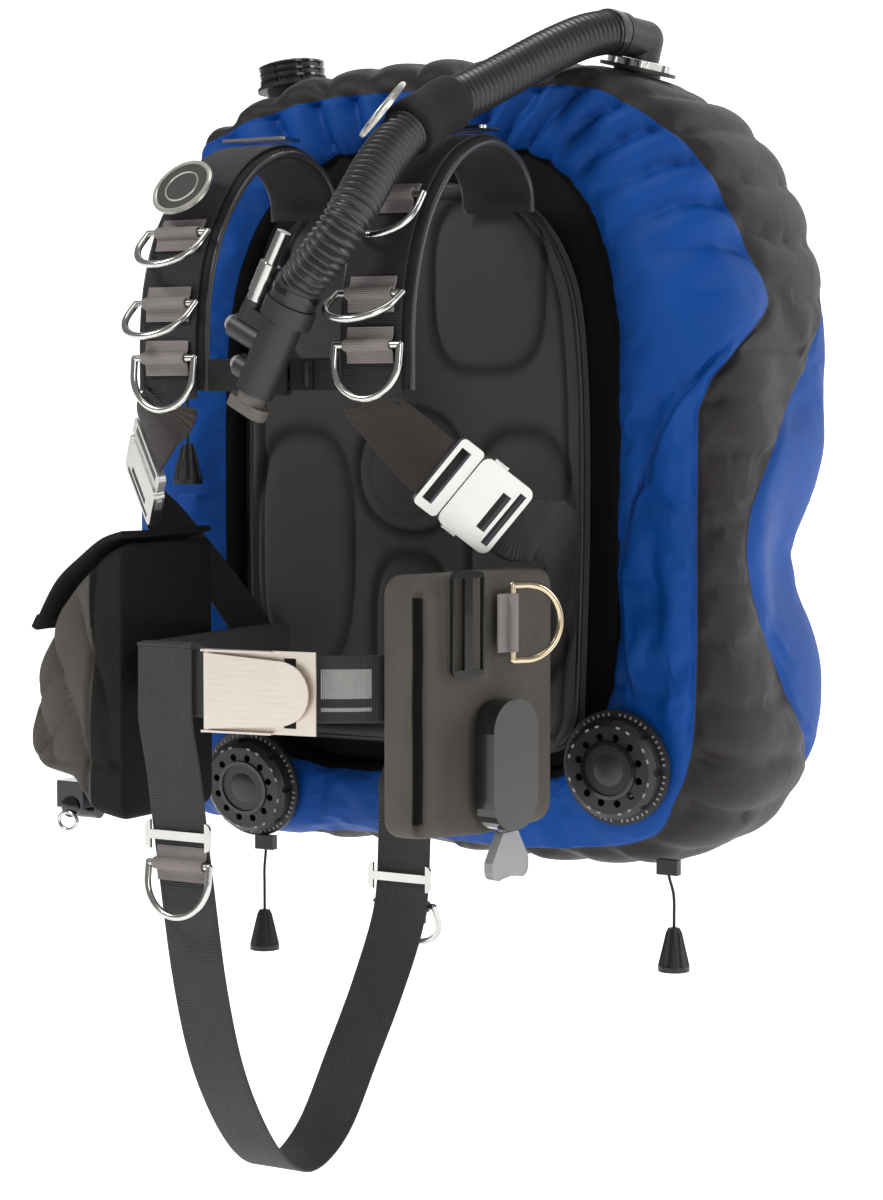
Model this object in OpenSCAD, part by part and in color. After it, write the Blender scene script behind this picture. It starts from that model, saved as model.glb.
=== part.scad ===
// Technical diving buoyancy compensator: a ring-shaped inflatable wing, a padded back plate,
// a webbing harness with D-rings and buckles, hip pockets, an inflator hose and dump valves.
// Origin: centre of the tank bolt holes on the rear face of the plate. +Y points to the tank, +Z up.

/* [Wing] */
// Half the width of the wing
wing_half_w = 298; // [280:2:302]
// Height of the wing's top edge above the origin
wing_top = 322; // [300:2:340]
// Height of the wing's bottom edge, below the origin
wing_bottom = -334; // [-342:2:-320]
// Half the width of the opening behind the pad
hole_half_w = 168; // [166:1:172]
// Front face of the wing at its sides
wing_front = -32; // [-40:2:-26]
// Rear face of the wing at its sides
wing_rear = 200; // [180:2:210]

/* [Plate and pad] */
// Distance between the two tank bolts
bolt_spacing = 279.4; // [279.4:0.1:280]
// Radius of the tank bolt holes
bolt_hole_r = 5.5; // [5:0.25:6]
// Thickness of the aluminium plate
plate_t = 3; // [2:0.5:4]
// Thickness of the back pad
pad_t = 20; // [16:1:22]

/* [Harness] */
// Width of the harness webbing
webbing_w = 50; // [48:1:51]
// Thickness of the harness webbing
webbing_t = 2.4; // [2:0.2:2.6]
// Distance of each shoulder strap from the middle
strap_x = 90; // [88:1:92]
// Width of the padded part of a shoulder strap
strap_w = 62; // [58:1:66]
// Height of the middle of the waist belt
belt_z = -172; // [-176:1:-168]

/* [D-rings] */
// Radius of the ring's rod
rod_r = 2.75; // [2.5:0.05:2.8]
// Radius of the bow, at the middle of the rod
bow_r = 28; // [27:0.5:29]
// Length of the straight arms between bar and bow
arm_l = 12; // [8:1:14]

/* [Inflator] */
// Outside diameter of the corrugated hose
hose_d = 36; // [34:1:38]
// Outside diameter of the inflator's barrel
barrel_d = 30; // [28:1:31]

/* [Valves] */
// Diameter of a dump valve's flange
valve_d = 92; // [86:1:96]
// Height of a dump valve's cap above the flange
cap_h = 13; // [12:1:16]
// Diameter of a pull cord
cord_d = 2.4; // [2:0.1:2.6]

/* [Hidden] */
$fn = 48;

gap = 0.35;               // running gap between parts that move past each other
fit_gap = 0.3;            // gap between soft parts that lie on each other
skin_t = 1.5;             // wing shell fabric
panel_t = 3;              // centre panel of the wing
keeper_t = 1.6;           // webbing loop round a D-ring's bar
keeper_w = 40;

// ---- curves -------------------------------------------------------------------------------

function unit(v) = v / norm(v);
function signed_power(v, e) = sign(v) * pow(abs(v), e);

// One point of the Catmull-Rom curve between b and c
function curve_point(a, b, c, d, t) =
    0.5 * (2 * b + (c - a) * t + (2 * a - 5 * b + 4 * c - d) * t * t
        + (3 * b - a - 3 * c + d) * t * t * t);

// A smooth curve through the points p, with n steps for each stretch
function smooth(p, n) =
    let (last = len(p) - 1)
    [for (i = [0 : last - 1]) for (j = [0 : n - 1])
        curve_point(p[max(i - 1, 0)], p[i], p[i + 1], p[min(i + 2, last)], j / n), p[last]];

function tangent(p, i) = unit(p[min(i + 1, len(p) - 1)] - p[max(i - 1, 0)]);

// The 2D path p moved sideways by d
function beside(p, d) =
    [for (i = [0 : len(p) - 1]) let (t = tangent(p, i)) p[i] + d * [-t[1], t[0]]];

// An outline of constant width round the 2D path p, from side a to side b
function band(p, a, b) =
    let (near = beside(p, a), far = beside(p, b), n = len(p))
    [each near, for (i = [0 : n - 1]) far[n - 1 - i]];

// Points of an arc
function arc(c, r, from, to, n = 8) =
    [for (i = [0 : n]) let (a = from + (to - from) * i / n) c + r * [cos(a), sin(a)]];

// A rectangle of w by h round c, with corners of radius r
function rounded(c, w, h, r, n = 6) =
    let (x = w / 2 - r, z = h / 2 - r)
    [each arc(c + [x, z], r, 0, 90, n), each arc(c + [-x, z], r, 90, 180, n),
        each arc(c + [-x, -z], r, 180, 270, n), each arc(c + [x, -z], r, 270, 360, n)];

function mirrored(p) = [for (v = p) [-v[0], v[1], v[2]]];
function sided(p, side) = [side * p[0], p[1], p[2]];

// ---- solids from curves -------------------------------------------------------------------

// A solid skin over rings of points; closed joins the last ring to the first
module skin(rings, closed = false) {
    n = len(rings);
    k = len(rings[0]);
    spans = closed ? n : n - 1;
    walls = [for (i = [0 : spans - 1]) for (j = [0 : k - 1])
        let (a = i * k + j, b = i * k + (j + 1) % k,
            c = ((i + 1) % n) * k + (j + 1) % k, d = ((i + 1) % n) * k + j)
        each [[a, b, c], [a, c, d]]];
    first = [for (j = [0 : k - 1]) k - 1 - j];
    last = [for (j = [0 : k - 1]) (n - 1) * k + j];
    polyhedron([for (r = rings) each r], closed ? walls : [each walls, first, last]);
}

// A flat strap w wide and t thick along the path; wide holds its width direction at each point
module ribbon(path, wide, w, t) {
    skin([for (i = [0 : len(path) - 1])
        let (along = tangent(path, i),
            across = unit(wide[i] - (wide[i] * along) * along),
            up = cross(along, across))
        [path[i] - across * w / 2 - up * t / 2, path[i] - across * w / 2 + up * t / 2,
            path[i] + across * w / 2 + up * t / 2, path[i] + across * w / 2 - up * t / 2]]);
}

// A round tube without a bore along the path
module tube(path, d, sides) {
    skin([for (i = [0 : len(path) - 1])
        let (along = tangent(path, i),
            side = unit(cross(along, abs(along[2]) > 0.9 ? [1, 0, 0] : [0, 0, 1])),
            up = cross(side, along))
        [for (j = [0 : sides - 1]) let (a = 360 * j / sides)
            path[i] + d / 2 * (cos(a) * side + sin(a) * up)]]);
}

// A plate that stands in the XZ plane and is t thick towards -Y
module upright(t) rotate([90, 0, 0]) linear_extrude(t) children();

// Children's +Z turned to the direction d, at the point p
module aim(p, d) {
    translate(p) rotate([0, acos(d[2] / norm(d)), atan2(d[1], d[0])]) children();
}

// ---- plate, pad and centre panel ----------------------------------------------------------

plate_outline = [[-115, -200], [115, -200], [124, -120], [118, 60], [88, 196], [-88, 196],
    [-118, 60], [-124, -120]];
slot_w = 54;
slot_h = 7;

module bolt_holes(r, h) {
    for (s = [-1, 1]) translate([0, h, s * bolt_spacing / 2]) rotate([90, 0, 0])
        cylinder(r = r, h = 2 * h);
}

module slot(x, z, turn) {
    translate([x, 10, z]) rotate([0, turn, 0]) cube([slot_w, 40, slot_h], center = true);
}

module back_plate() color("silver") difference() {
    upright(plate_t) polygon(plate_outline);
    bolt_holes(bolt_hole_r, 20);
    for (side = [-1, 1]) {
        slot(side * 52, 176, 0);
        slot(side * 98, -140, 90);
        slot(side * 84, -60, 90);
        slot(side * 84, 60, 90);
    }
    slot(0, -184, 0);
}

// The pad narrows to a round top; a channel in its back clears the bolts' wing nuts
pad_side = smooth([[158, -150], [160, -60], [158, 60], [146, 140], [110, 194], [54, 214],
    [0, 219]], 4);
pad_outline = [each arc([122, -210], 34, -90, 0, 5), each pad_side,
    for (i = [1 : len(pad_side) - 1]) let (v = pad_side[len(pad_side) - 1 - i]) [-v[0], v[1]],
    each arc([-122, -210], 34, 180, 270, 5)];
pad_back = -plate_t - fit_gap;

module back_pad() color("#3a3a3c") difference() {
    translate([0, pad_back, 0]) upright(pad_t) polygon(pad_outline);
    translate([-27, pad_back - 9, -250]) cube([54, 40, 440]);
    for (side = [-1, 1]) slot(side * 84, 176, 0);
}

module wing_panel() color("#202022") difference() {
    translate([0, gap + panel_t, 0]) upright(panel_t) polygon([for (i = [0 : 71])
            loop_point(5 * i, hole_half_w + 2, hole_top + 1, hole_bottom - 1)]);
    bolt_holes(9, 20);
    for (side = [-1, 1]) for (z = [-90, 70]) slot(side * 62, z, 90);
}

module panel_eyelets() color("silver") for (s = [-1, 1])
    translate([0, gap, s * bolt_spacing / 2]) rotate([-90, 0, 0]) difference() {
        union() {
            cylinder(r = 9 - 0.05, h = panel_t);
            translate([0, 0, panel_t]) cylinder(r = 14, h = 1);
        }
        translate([0, 0, -1]) cylinder(r = 6.5, h = panel_t + 4);
    }

// ---- wing ---------------------------------------------------------------------------------

stations = 52;
section_points = 18;
top_power = 3.2;          // how square the wing's outline is at the top
bottom_power = 6.5;       // and at the bottom
section_power = 3.6;      // how square a cut through the tube is
lean = 42;                // how far the tube leans in behind the pad
top_front = -12;          // the tube is thinner across the top and bottom
top_rear = 168;
bottom_front = -30;
bottom_rear = 156;
hole_top = 236;
hole_bottom = -254;

function loop_point(a, half_w, top, bottom) =
    let (e = 2 / (sin(a) > 0 ? top_power : bottom_power))
    [half_w * signed_power(cos(a), e),
        (top + bottom) / 2 + (top - bottom) / 2 * signed_power(sin(a), e)];

// One cut through the tube at the angle a, drawn in by inset
function wing_section(a, inset) =
    let (o = loop_point(a, wing_half_w, wing_top, wing_bottom),
        i = loop_point(a, hole_half_w, hole_top, hole_bottom),
        mid = (o + i) / 2, out = unit(o - i), half = norm(o - i) / 2 - inset,
        side = pow(cos(a), 2),
        front = (sin(a) > 0 ? top_front : bottom_front) * (1 - side) + wing_front * side,
        rear = (sin(a) > 0 ? top_rear : bottom_rear) * (1 - side) + wing_rear * side,
        deep = (rear - front) / 2 - inset)
    [for (j = [section_points - 1 : -1 : 0])
        let (b = 360 * (j + 0.5) / section_points,
            u = signed_power(cos(b), 2 / section_power),
            v = signed_power(sin(b), 2 / section_power),
            r = mid + out * (half * u - lean * max(0, -u) * max(0, v)))
        [r[0], (front + rear) / 2 + deep * v, r[1]]];

module wing_solid(inset) {
    skin([for (i = [0 : stations - 1]) wing_section(360 * (i + 0.5) / stations, inset)], true);
}

// Room for the necks of the valves and of the hose port
module port_holes(play) {
    for (i = [0 : 2]) at_valve(i) translate([0, 0, -30]) cylinder(r = seat_r + 4 + play, h = 60);
    at_port() translate([0, 0, -30]) cylinder(r = 20 + play, h = 60);
}

module wing_shell() color("#1c4fb0") difference() {
    wing_solid(0);
    wing_solid(skin_t);
    port_holes(0.3);
}

module wing_bladder() color("#303034") difference() {
    wing_solid(skin_t + 0.5);
    port_holes(0.8);
}

// ---- dump valves --------------------------------------------------------------------------

// Where each valve's flange meets the wing, and the way it faces
valve_places = [[[-148, -34.4, -284], [0, -1, -0.16]], [[198, -35.4, -248], [0, -1, -0.06]],
    [[-184, 88, 315], [-0.14, 0, 1]]];
valve_scale = [1, 1, 0.7];
cap_heights = [cap_h, cap_h, 2.2 * cap_h];
neck_lengths = [12, 12, 26];
flange_t = 4;
seat_r = 30;
poppet_lift = 4;

module at_valve(i) aim(valve_places[i][0], valve_places[i][1]) scale(valve_scale[i]) children();

// A flange with a vented neck that holds the seat of the poppet
module valve_seat(neck) {
    difference() {
        union() {
            cylinder(d = valve_d, h = flange_t);
            translate([0, 0, -neck]) cylinder(r = seat_r + 4, h = neck + 2);
        }
        translate([0, 0, -neck - 1]) cylinder(r = 20, h = neck + 1);
        translate([0, 0, -1]) cylinder(r = seat_r, h = 10);
    }
}

module valve_cap(h) {
    rim = valve_d / 2 - 6;
    translate([0, 0, flange_t + 0.05]) difference() {
        union() {
            cylinder(r = rim, h = h - 4);
            translate([0, 0, h - 4]) cylinder(r1 = rim, r2 = rim - 5, h = 4);
        }
        translate([0, 0, -1]) cylinder(r = rim - 4, h = h - 1.5);
        for (a = [0 : 30 : 330]) rotate([0, 0, a + 15]) translate([rim - 13, 0, 0])
            cylinder(r = 3, h = h + 1);
        for (a = [0 : 45 : 315]) rotate([0, 0, a]) translate([rim + 2, 0, -1])
            cylinder(r = 4, h = h + 2);
    }
}

module poppet() {
    translate([0, 0, 0.3]) cylinder(r = seat_r - 4, h = 2.2);
    cylinder(r = 3, h = 7);
}

// A closed stack of turns stands for the light spring between poppet and cap
module valve_spring(h) {
    translate([0, 0, 7]) difference() {
        cylinder(r = 12, h = h - 5.7);
        translate([0, 0, -1]) cylinder(r = 10.6, h = h);
    }
}

module valve_caps() color("#151517") for (i = [0 : 2]) at_valve(i) valve_cap(cap_heights[i]);
module valve_springs() color("silver") for (i = [0 : 2]) at_valve(i) valve_spring(cap_heights[i]);
module valve_poppet(i) color("#2b2b2e") at_valve(i) poppet();

// ---- pull cords and knobs -----------------------------------------------------------------

// Each cord runs from its guide, or from its valve, to its knob
cord_left = [[-135, -36, -331], [-135.1, -36.1, -341], [-136, -37, -356], [-136, -37, -368],
    [-136, -37, -380], [-136, -37, -392]];
cord_right = [[243, -36, -321], [243.2, -35.8, -331], [246, -34, -343], [247, -34, -352],
    [247, -34, -362], [247, -34, -372]];
cord_top = [[-208, -34, 240], [-211, -44, 210], [-210, -47, 170], [-208, -47, 130],
    [-206, -47, 90], [-206, -47, 50], [-206, -47, 4]];
cords = [cord_left, cord_right, cord_top];
knob_h = 34;

module pull_cord(i) color("#1a1a1a") tube(smooth(cords[i], 3), cord_d, 8);

// A ribbed knob that flares towards its foot
module pull_knob(i) color("#1b1b1d") {
    p = cords[i];
    translate(p[len(p) - 1] - [0, 0, knob_h]) difference() {
        union() {
            cylinder(r = 12.5, h = 4);
            translate([0, 0, 4]) cylinder(r1 = 12.5, r2 = 5.5, h = knob_h - 4);
        }
        for (a = [0 : 45 : 315]) rotate([0, 0, a]) translate([14, 0, 5]) rotate([0, -14, 0])
            cylinder(r = 3, h = knob_h);
    }
}

// ---- elbow, hose and inflator -------------------------------------------------------------

elbow_at = [150, 92, 311.6];
elbow_tilt = 14;          // the port leans outwards with the wing's top
elbow_turn = -12;
elbow_rise = 25.5;          // height of the elbow's outlet above the wing
hose_route = [[148.5, 54.8, 338.2], [146.7, 46, 338.7], [139, 14, 331], [129, -24, 316],
    [118, -62, 298], [107, -100, 280], [97, -140, 263], [90, -178, 243], [89, -216, 216],
    [88, -249, 183], [80, -260, 162], [63, -262, 141], [46, -259.4, 125.5], [39, -259, 112.4]];
inflator_dir = unit([-0.47, 0.02, -0.88]);
inflator_at = [39, -259, 112.4];

module at_port() translate(elbow_at) rotate([0, elbow_tilt, 0]) children();

module port_neck(r) difference() {
    union() {
        cylinder(r = r + 12, h = 3);
        translate([0, 0, -12]) cylinder(r = r, h = 20);
    }
    translate([0, 0, -13]) cylinder(r = r - 4, h = 30);
}

module wing_ports() color("#1a1a1c") {
    for (i = [0 : 2]) at_valve(i) valve_seat(neck_lengths[i]);
    at_port() port_neck(20);
    // fabric guides that the two lower pull cords run through
    for (i = [0, 1]) translate(cords[i][0] - [0, 0, 9]) difference() {
        translate([-9, -3.5, 0]) cube([18, 7, 12]);
        translate([0, 0, -1]) cylinder(d = 4, h = 20);
    }
}

module elbow_ring() color("silver") at_port() translate([0, 0, 3.1]) difference() {
    union() {
        cylinder(r = 25, h = 5.6);
        for (a = [0 : 60 : 300]) rotate([0, 0, a]) translate([24, 0, 0]) cylinder(r = 5, h = 5.6);
    }
    translate([0, 0, -1]) cylinder(r = 20.3, h = 12);
}

// A mitred bend with a socket for the hose
module hose_elbow() color("#242427") at_port() rotate([0, 0, elbow_turn]) difference() {
    union() {
        translate([0, 0, 9.4]) cylinder(r = 16, h = elbow_rise - 9.4);
        translate([0, 0, elbow_rise]) sphere(r = 16);
        translate([0, 0, elbow_rise]) rotate([90, 0, 0]) cylinder(r = 16, h = 37);
        translate([0, -31, elbow_rise]) rotate([90, 0, 0]) cylinder(r = 18, h = 6);
    }
    translate([0, 0, 9]) cylinder(r = 12, h = elbow_rise - 9);
}

// Straight at both ends so that it meets the elbow and the inflator squarely
hose_last = len(hose_route) - 1;
hose_path = [hose_route[0], each smooth([for (i = [1 : hose_last - 1]) hose_route[i]], 3),
    hose_route[hose_last]];

module inflator_hose() color("#1d1d1f") tube(hose_path, hose_d, 12);

sleeve_path = [for (i = [15 : 19]) hose_path[i]];

// Neoprene sleeve that holds the hose to the right shoulder strap
module hose_sleeve() color("#303032") difference() {
    tube(sleeve_path, hose_d + 6.6, 16);
    tube(hose_path, hose_d + 2 * gap, 12);
}

module inflator_frame() aim(inflator_at + inflator_dir * 0.5, inflator_dir) children();

// The barrel, a side arm for the inflate button and a boss for the low-pressure hose
module inflator_body() color("#2a2a2d") inflator_frame() difference() {
    union() {
        cylinder(d = barrel_d + 10, h = 14);
        cylinder(d = barrel_d, h = 74);
        translate([0, 0, 38]) rotate([0, -90, 0]) cylinder(d = 19, h = 40);
        translate([0, 0, 62]) rotate([0, -90, 0]) cylinder(d = 18, h = 22);
        translate([-31, 0, 13]) cylinder(d = 15, h = 15);
        translate([-36, -7, 18]) cube([30, 14, 12]);
    }
    translate([-28, 0, 38]) rotate([0, -90, 0]) cylinder(r = 6.5, h = 30);
    translate([-10, 0, 62]) rotate([0, -90, 0]) cylinder(r = 6, h = 30);
    translate([0, 0, 72]) cylinder(r = 9, h = 40);
}

module inflate_button() color("#9a9a9e") inflator_frame()
    translate([-31, 0, 38]) rotate([0, -90, 0]) {
        cylinder(r = 6.5 - gap, h = 13);
        translate([0, 0, 13]) cylinder(r1 = 6.15, r2 = 5, h = 1.5);
    }

module deflate_button() color("#b9b9bd") inflator_frame()
    translate([-13, 0, 62]) rotate([0, -90, 0]) {
        cylinder(r = 6 - gap, h = 13);
        translate([0, 0, 13]) cylinder(r1 = 5.65, r2 = 4.5, h = 1.5);
    }

module mouthpiece() color("#8d8a80") inflator_frame() translate([0, 0, 74.1]) difference() {
    union() {
        cylinder(d = 22, h = 8);
        translate([0, 0, 8]) linear_extrude(9) polygon(rounded([0, 0], 34, 18, 8));
    }
    translate([0, 0, -1]) cylinder(d = 12, h = 40);
}

// Quick-disconnect coupling of the low-pressure hose, seated on the inflator's boss
module hose_coupling() color("silver") inflator_frame() translate([-31, 0, 12.9])
    rotate([180, 0, 0]) {
        cylinder(d = 14, h = 6);
        translate([0, 0, 6]) cylinder(d = 16, h = 24);
        translate([0, 0, 30]) cylinder(d = 11, h = 26);
    }

// ---- shoulder straps ----------------------------------------------------------------------

// The middle of a strap's pad in the YZ plane, from the plate over the shoulder to the chest
strap_line = smooth([[-34, 190], [-38, 212], [-60, 231], [-98, 239], [-140, 228],
    [-174, 203], [-203, 164], [-219, 112], [-221, 48]], 4);
strap_t = 10;
webbing_off = strap_t / 2 + fit_gap + webbing_t / 2;

// The left strap hangs a little further out than the right one
function strap_mid(side) = side > 0 ? strap_x - 1 : -strap_x - 5;

module shoulder_pads() color("#2c2c2e") for (side = [-1, 1])
    translate([strap_mid(side) - strap_w / 2, 0, 0]) rotate([90, 0, 90])
        linear_extrude(strap_w) polygon(band(strap_line, -strap_t / 2, strap_t / 2));

// The webbing follows the pad's outer face, from the plate's slot to the release buckle
strap_outer = beside(strap_line, -webbing_off);
function strap_end(side) = side > 0 ? [122, -189, -10] : [-132, -202, 4];
buckle_dir_right = unit([52, 68, -62]);
buckle_dir_left = unit([-58, 62, -56]);
function buckle_dir(side) = side > 0 ? buckle_dir_right : buckle_dir_left;

// Points of the free length between the pad's lower end and the buckle
function tail_route(side) =
    let (end = strap_end(side), d = buckle_dir(side),
        top = [strap_mid(side), strap_outer[len(strap_outer) - 1][0], 47])
    smooth([top, top + [0, 0.5, -12], (top + end - d * 14) / 2 + [0, -3, -4], end - d * 14,
        end - d], 3);

function webbing_route(side) =
    [for (i = [3 : len(strap_outer) - 2]) [strap_mid(side), strap_outer[i][0], strap_outer[i][1]],
        each tail_route(side)];

// The webbing's width runs along X on the shoulder and turns to lie in the buckle
buckle_wide_right = [0.62, 0.32, 0.72];
buckle_wide_left = [0.62, -0.32, -0.72];
function buckle_wide(side) = side > 0 ? buckle_wide_right : buckle_wide_left;

module shoulder_webbing() color("#1f1f21") for (side = [-1, 1]) {
    p = webbing_route(side);
    n = len(p);
    turn_from = n - 10;
    wide = [for (i = [0 : n - 1]) let (f = min(1, max(0, (i - turn_from) / 8)))
        [1, 0, 0] * (1 - f) + buckle_wide(side) * f];
    ribbon(p, wide, webbing_w, webbing_t);
}

// ---- release buckles between shoulder and waist webbing ------------------------------------

buckle_w = 62;
insert_l = 22;
frame_l = 50;

// Local frame: +Z along the strap, +X across it, Y out of its face
module at_buckle(side) {
    d = buckle_dir(side);
    wide = buckle_wide(side);
    across = unit(wide - (wide * d) * d);
    face = cross(d, across);
    at = strap_end(side);
    multmatrix([[across[0], face[0], d[0], at[0]], [across[1], face[1], d[1], at[1]],
        [across[2], face[2], d[2], at[2]], [0, 0, 0, 1]]) children();
}

// The insert holds the shoulder webbing round its bar and pushes a tongue into the frame
module buckle_insert() {
    difference() {
        translate([0, 3, 0.5]) rotate([90, 0, 0]) linear_extrude(6)
            polygon(rounded([0, insert_l / 2], buckle_w, insert_l, 4));
        translate([-24, -10, 4.5]) cube([48, 20, 9]);
    }
    translate([-15, -1.4, insert_l - 1]) cube([30, 2.8, 22]);
}

module buckle_frame() {
    z0 = insert_l + 1;
    difference() {
        translate([0, 4.5, z0]) rotate([90, 0, 0]) linear_extrude(9)
            polygon(rounded([0, frame_l / 2], buckle_w, frame_l, 7));
        translate([-15.5, -1.8, z0 - 1]) cube([31, 3.6, 24]);
        for (s = [-1, 1]) translate([s * 27 - 8, -2.7, z0 + 8]) cube([16, 5.4, 14]);
        translate([-16.5, -6, z0 + 29]) cube([33, 12, 8]);
        translate([-24, -6, z0 + 40]) cube([48, 12, 6]);
    }
}

module buckle_frames() color("#c9c9c6") for (side = [-1, 1]) at_buckle(side) buckle_frame();
module buckle_inserts() color("#d2d2cf") for (side = [-1, 1]) at_buckle(side) buckle_insert();

// A tab that is pinched inwards to free the tongue
module release_tab(side, way) color("#a8a8a6") at_buckle(side)
    translate([way * 27.6 - 5.6, -2.3, insert_l + 1 + 8.6]) difference() {
        cube([11.2, 4.6, 12.8]);
        for (z = [2 : 2.4 : 11]) translate([way > 0 ? 10.6 : -0.4, -1, z]) cube([1, 7, 1]);
    }

// Webbing from the buckle's frame round the pocket to the plate
lower_routes = [[[-183, -132, -50], [-182, -106, -62], [-172, -80, -90], [-154, -60, -124],
        [-134, -50, -158]],
    [[171, -118, -58], [169, -92, -60], [166, -68, -74], [152, -56, -122],
        [134, -50, -158]]];

function lower_route(side) =
    let (d = buckle_dir(side), end = strap_end(side) + d * (insert_l + frame_l + 3.6))
    [end, each smooth([end + 9 * d, each lower_routes[side > 0 ? 1 : 0]], 3)];

module lower_webbing() color("#1f1f21") for (side = [-1, 1]) {
    p = lower_route(side);
    n = len(p);
    flat = [side * 0.15, 0.85, 0.45];
    wide = [for (i = [0 : n - 1]) let (f = min(1, i / 6))
        buckle_wide(side) * (side * (1 - f)) + flat * f];
    ribbon(p, wide, webbing_w, webbing_t);
}

// ---- D-rings and their keepers -------------------------------------------------------------

ring_out = 7.2;           // a bar's height above the middle of the webbing
ring_heights = [[167, 114, 73], [189, 118, 81]];
ring_swings = [[50, 50, 6], [40, 60, 8]];

// Where the strap's outer webbing lies at the height z
function strap_y(z) = lookup(z, [for (i = [len(strap_outer) - 1 : -1 : 16])
    [strap_outer[i][1], strap_outer[i][0]]]);
function ring_z(side, k) = ring_heights[side > 0 ? 1 : 0][k];

// The lean of the strap's face at the height z, and a bar that rests ring_out above it
function strap_lean(z) = atan((strap_y(z + 4) - strap_y(z - 4)) / 8);
function bar_at(side, k) = let (z = ring_z(side, k), a = strap_lean(z))
    [strap_mid(side), strap_y(z) - ring_out * cos(a), z + ring_out * sin(a)];

// A ring whose bar lies along X and whose bow hangs towards -Z
module d_ring() {
    half = bow_r;
    rotate([0, 90, 0]) cylinder(r = rod_r, h = 2 * half, center = true);
    for (s = [-1, 1]) {
        translate([s * half, 0, 0]) sphere(r = rod_r);
        translate([s * half, 0, -arm_l]) cylinder(r = rod_r, h = arm_l);
    }
    translate([0, 0, -arm_l]) rotate([90, 0, 0]) rotate([0, 0, 180])
        rotate_extrude(angle = 180) translate([bow_r, 0]) circle(r = rod_r);
}

// A loop of webbing round a bar along X, sewn to a backing towards +Y
module keeper(w = keeper_w, depth = ring_out - 1.8) {
    r = rod_r + gap;
    difference() {
        union() {
            rotate([0, 90, 0]) cylinder(r = r + keeper_t, h = w, center = true);
            translate([-w / 2, 0, -4.2]) cube([w, depth, 8.4]);
        }
        rotate([0, 90, 0]) cylinder(r = r, h = w + 2, center = true);
    }
}

module strap_ring(side, k) color("silver")
    translate(bar_at(side, k)) rotate([-ring_swings[side > 0 ? 1 : 0][k], 0, 0]) d_ring();

// ---- rings of the waist and crotch webbing --------------------------------------------------

waist_ring_at = [179.6, -176, -125];
waist_ring_swing = 35;
front_ring_at = [-54, -277, -312];
front_ring_swing = 8;
rear_ring_at = [0, -32, -376];
rear_ring_swing = -30;

// The bar stands upright and the bow points backwards and outwards
module waist_d_ring() color("#c9b48a") translate(waist_ring_at)
    rotate([0, 0, -waist_ring_swing]) rotate([90, 0, 0]) rotate([0, 0, 90]) d_ring();

module crotch_d_ring_front() color("silver") translate(front_ring_at)
    rotate([-front_ring_swing, 0, 0]) d_ring();

module crotch_d_ring_rear() color("silver") translate(rear_ring_at)
    rotate([-rear_ring_swing, 0, 0]) d_ring();

module ring_keepers() color("#5d5857") {
    for (side = [-1, 1]) for (k = [0 : 2]) translate(bar_at(side, k))
        rotate([-strap_lean(ring_z(side, k)), 0, 0]) keeper();
    translate(waist_ring_at) rotate([0, 0, 90]) rotate([0, 90, 0]) keeper(44, 6.6);
    translate(front_ring_at) keeper(46, 5.2);
    translate(rear_ring_at) rotate([0, 0, 180]) keeper(46, 5.4);
}

// ---- webbing slides -------------------------------------------------------------------------

// A frame with a middle bar; the webbing threads over the bar
module slide(w = 60, h = 34, t = 3) {
    difference() {
        translate([0, t / 2, 0]) upright(t) polygon(rounded([0, 0], w, h, 5));
        for (s = [-1, 1]) translate([0, 0, s * 8]) cube([w - 10, 10, 9], center = true);
    }
}

// ---- sternum strap ---------------------------------------------------------------------------

sternum_z = 60;
sternum_y = -222;
sternum_x = [-22, 34];

module sternum_strap() color("#1d1d1f") {
    left = strap_mid(-1) + strap_w / 2 + fit_gap;
    right = strap_mid(1) - strap_w / 2 - fit_gap;
    translate([left, sternum_y, sternum_z - 12.5]) cube([sternum_x[0] - fit_gap - left, 2, 25]);
    translate([sternum_x[1] + fit_gap, sternum_y, sternum_z - 12.5])
        cube([right - sternum_x[1] - fit_gap, 2, 25]);
}

// Side-release buckle: a socket and a plug with two prongs
module sternum_buckle() color("#151517") translate([0, sternum_y + 5, sternum_z]) {
    difference() {
        translate([sternum_x[0], 0, 0]) upright(9) polygon(rounded([17, 0], 34, 32, 5));
        translate([sternum_x[0] + 10, -7.2, -11.5]) cube([40, 5.4, 23]);
    }
    translate([sternum_x[1] - 20, -7, -12]) difference() {
        cube([20, 5, 24]);
        translate([11, -1, 3]) cube([5, 8, 18]);
    }
    for (s = [-1, 1]) translate([sternum_x[1] - 40, -6.6, s * 7.5 - 2.5]) cube([20.5, 4.2, 5]);
}

// ---- waist belt -----------------------------------------------------------------------------

belt_line = smooth([[119, -26], [131, -62], [127, -150], [112, -232], [90, -262], [50, -280],
    [2, -287], [-46, -281], [-88, -263], [-110, -236], [-122, -150], [-129, -62], [-119, -26]], 3);

module waist_belt() color("#28282a") translate([0, 0, belt_z - webbing_w / 2])
    linear_extrude(webbing_w) polygon(band(belt_line, -webbing_t / 2, webbing_t / 2));

// The buckle sits on the belt's front and is turned with it
buckle_l = 92;
buckle_h = 62;
waist_buckle_at = [-18, -293.4, -175];
waist_buckle_turn = 7;

module at_waist_buckle() translate(waist_buckle_at) rotate([0, 0, waist_buckle_turn]) children();

// A tray of bent sheet with two ears that hold the lever's pivots
module waist_buckle() color("#cfcac6") at_waist_buckle() {
    difference() {
        translate([0, 0, -buckle_h / 2]) cube([buckle_l, 1.6, buckle_h]);
        translate([buckle_l - 26, -5, -26]) cube([10, 12, 52]);
    }
    for (s = [-1, 1]) difference() {
        translate([0, -6.4, s * (buckle_h / 2 - 0.8) - 0.8]) cube([buckle_l - 34, 6.5, 1.6]);
        translate([4, -3.2, -40]) cylinder(r = 1.7, h = 80);
    }
}

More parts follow.
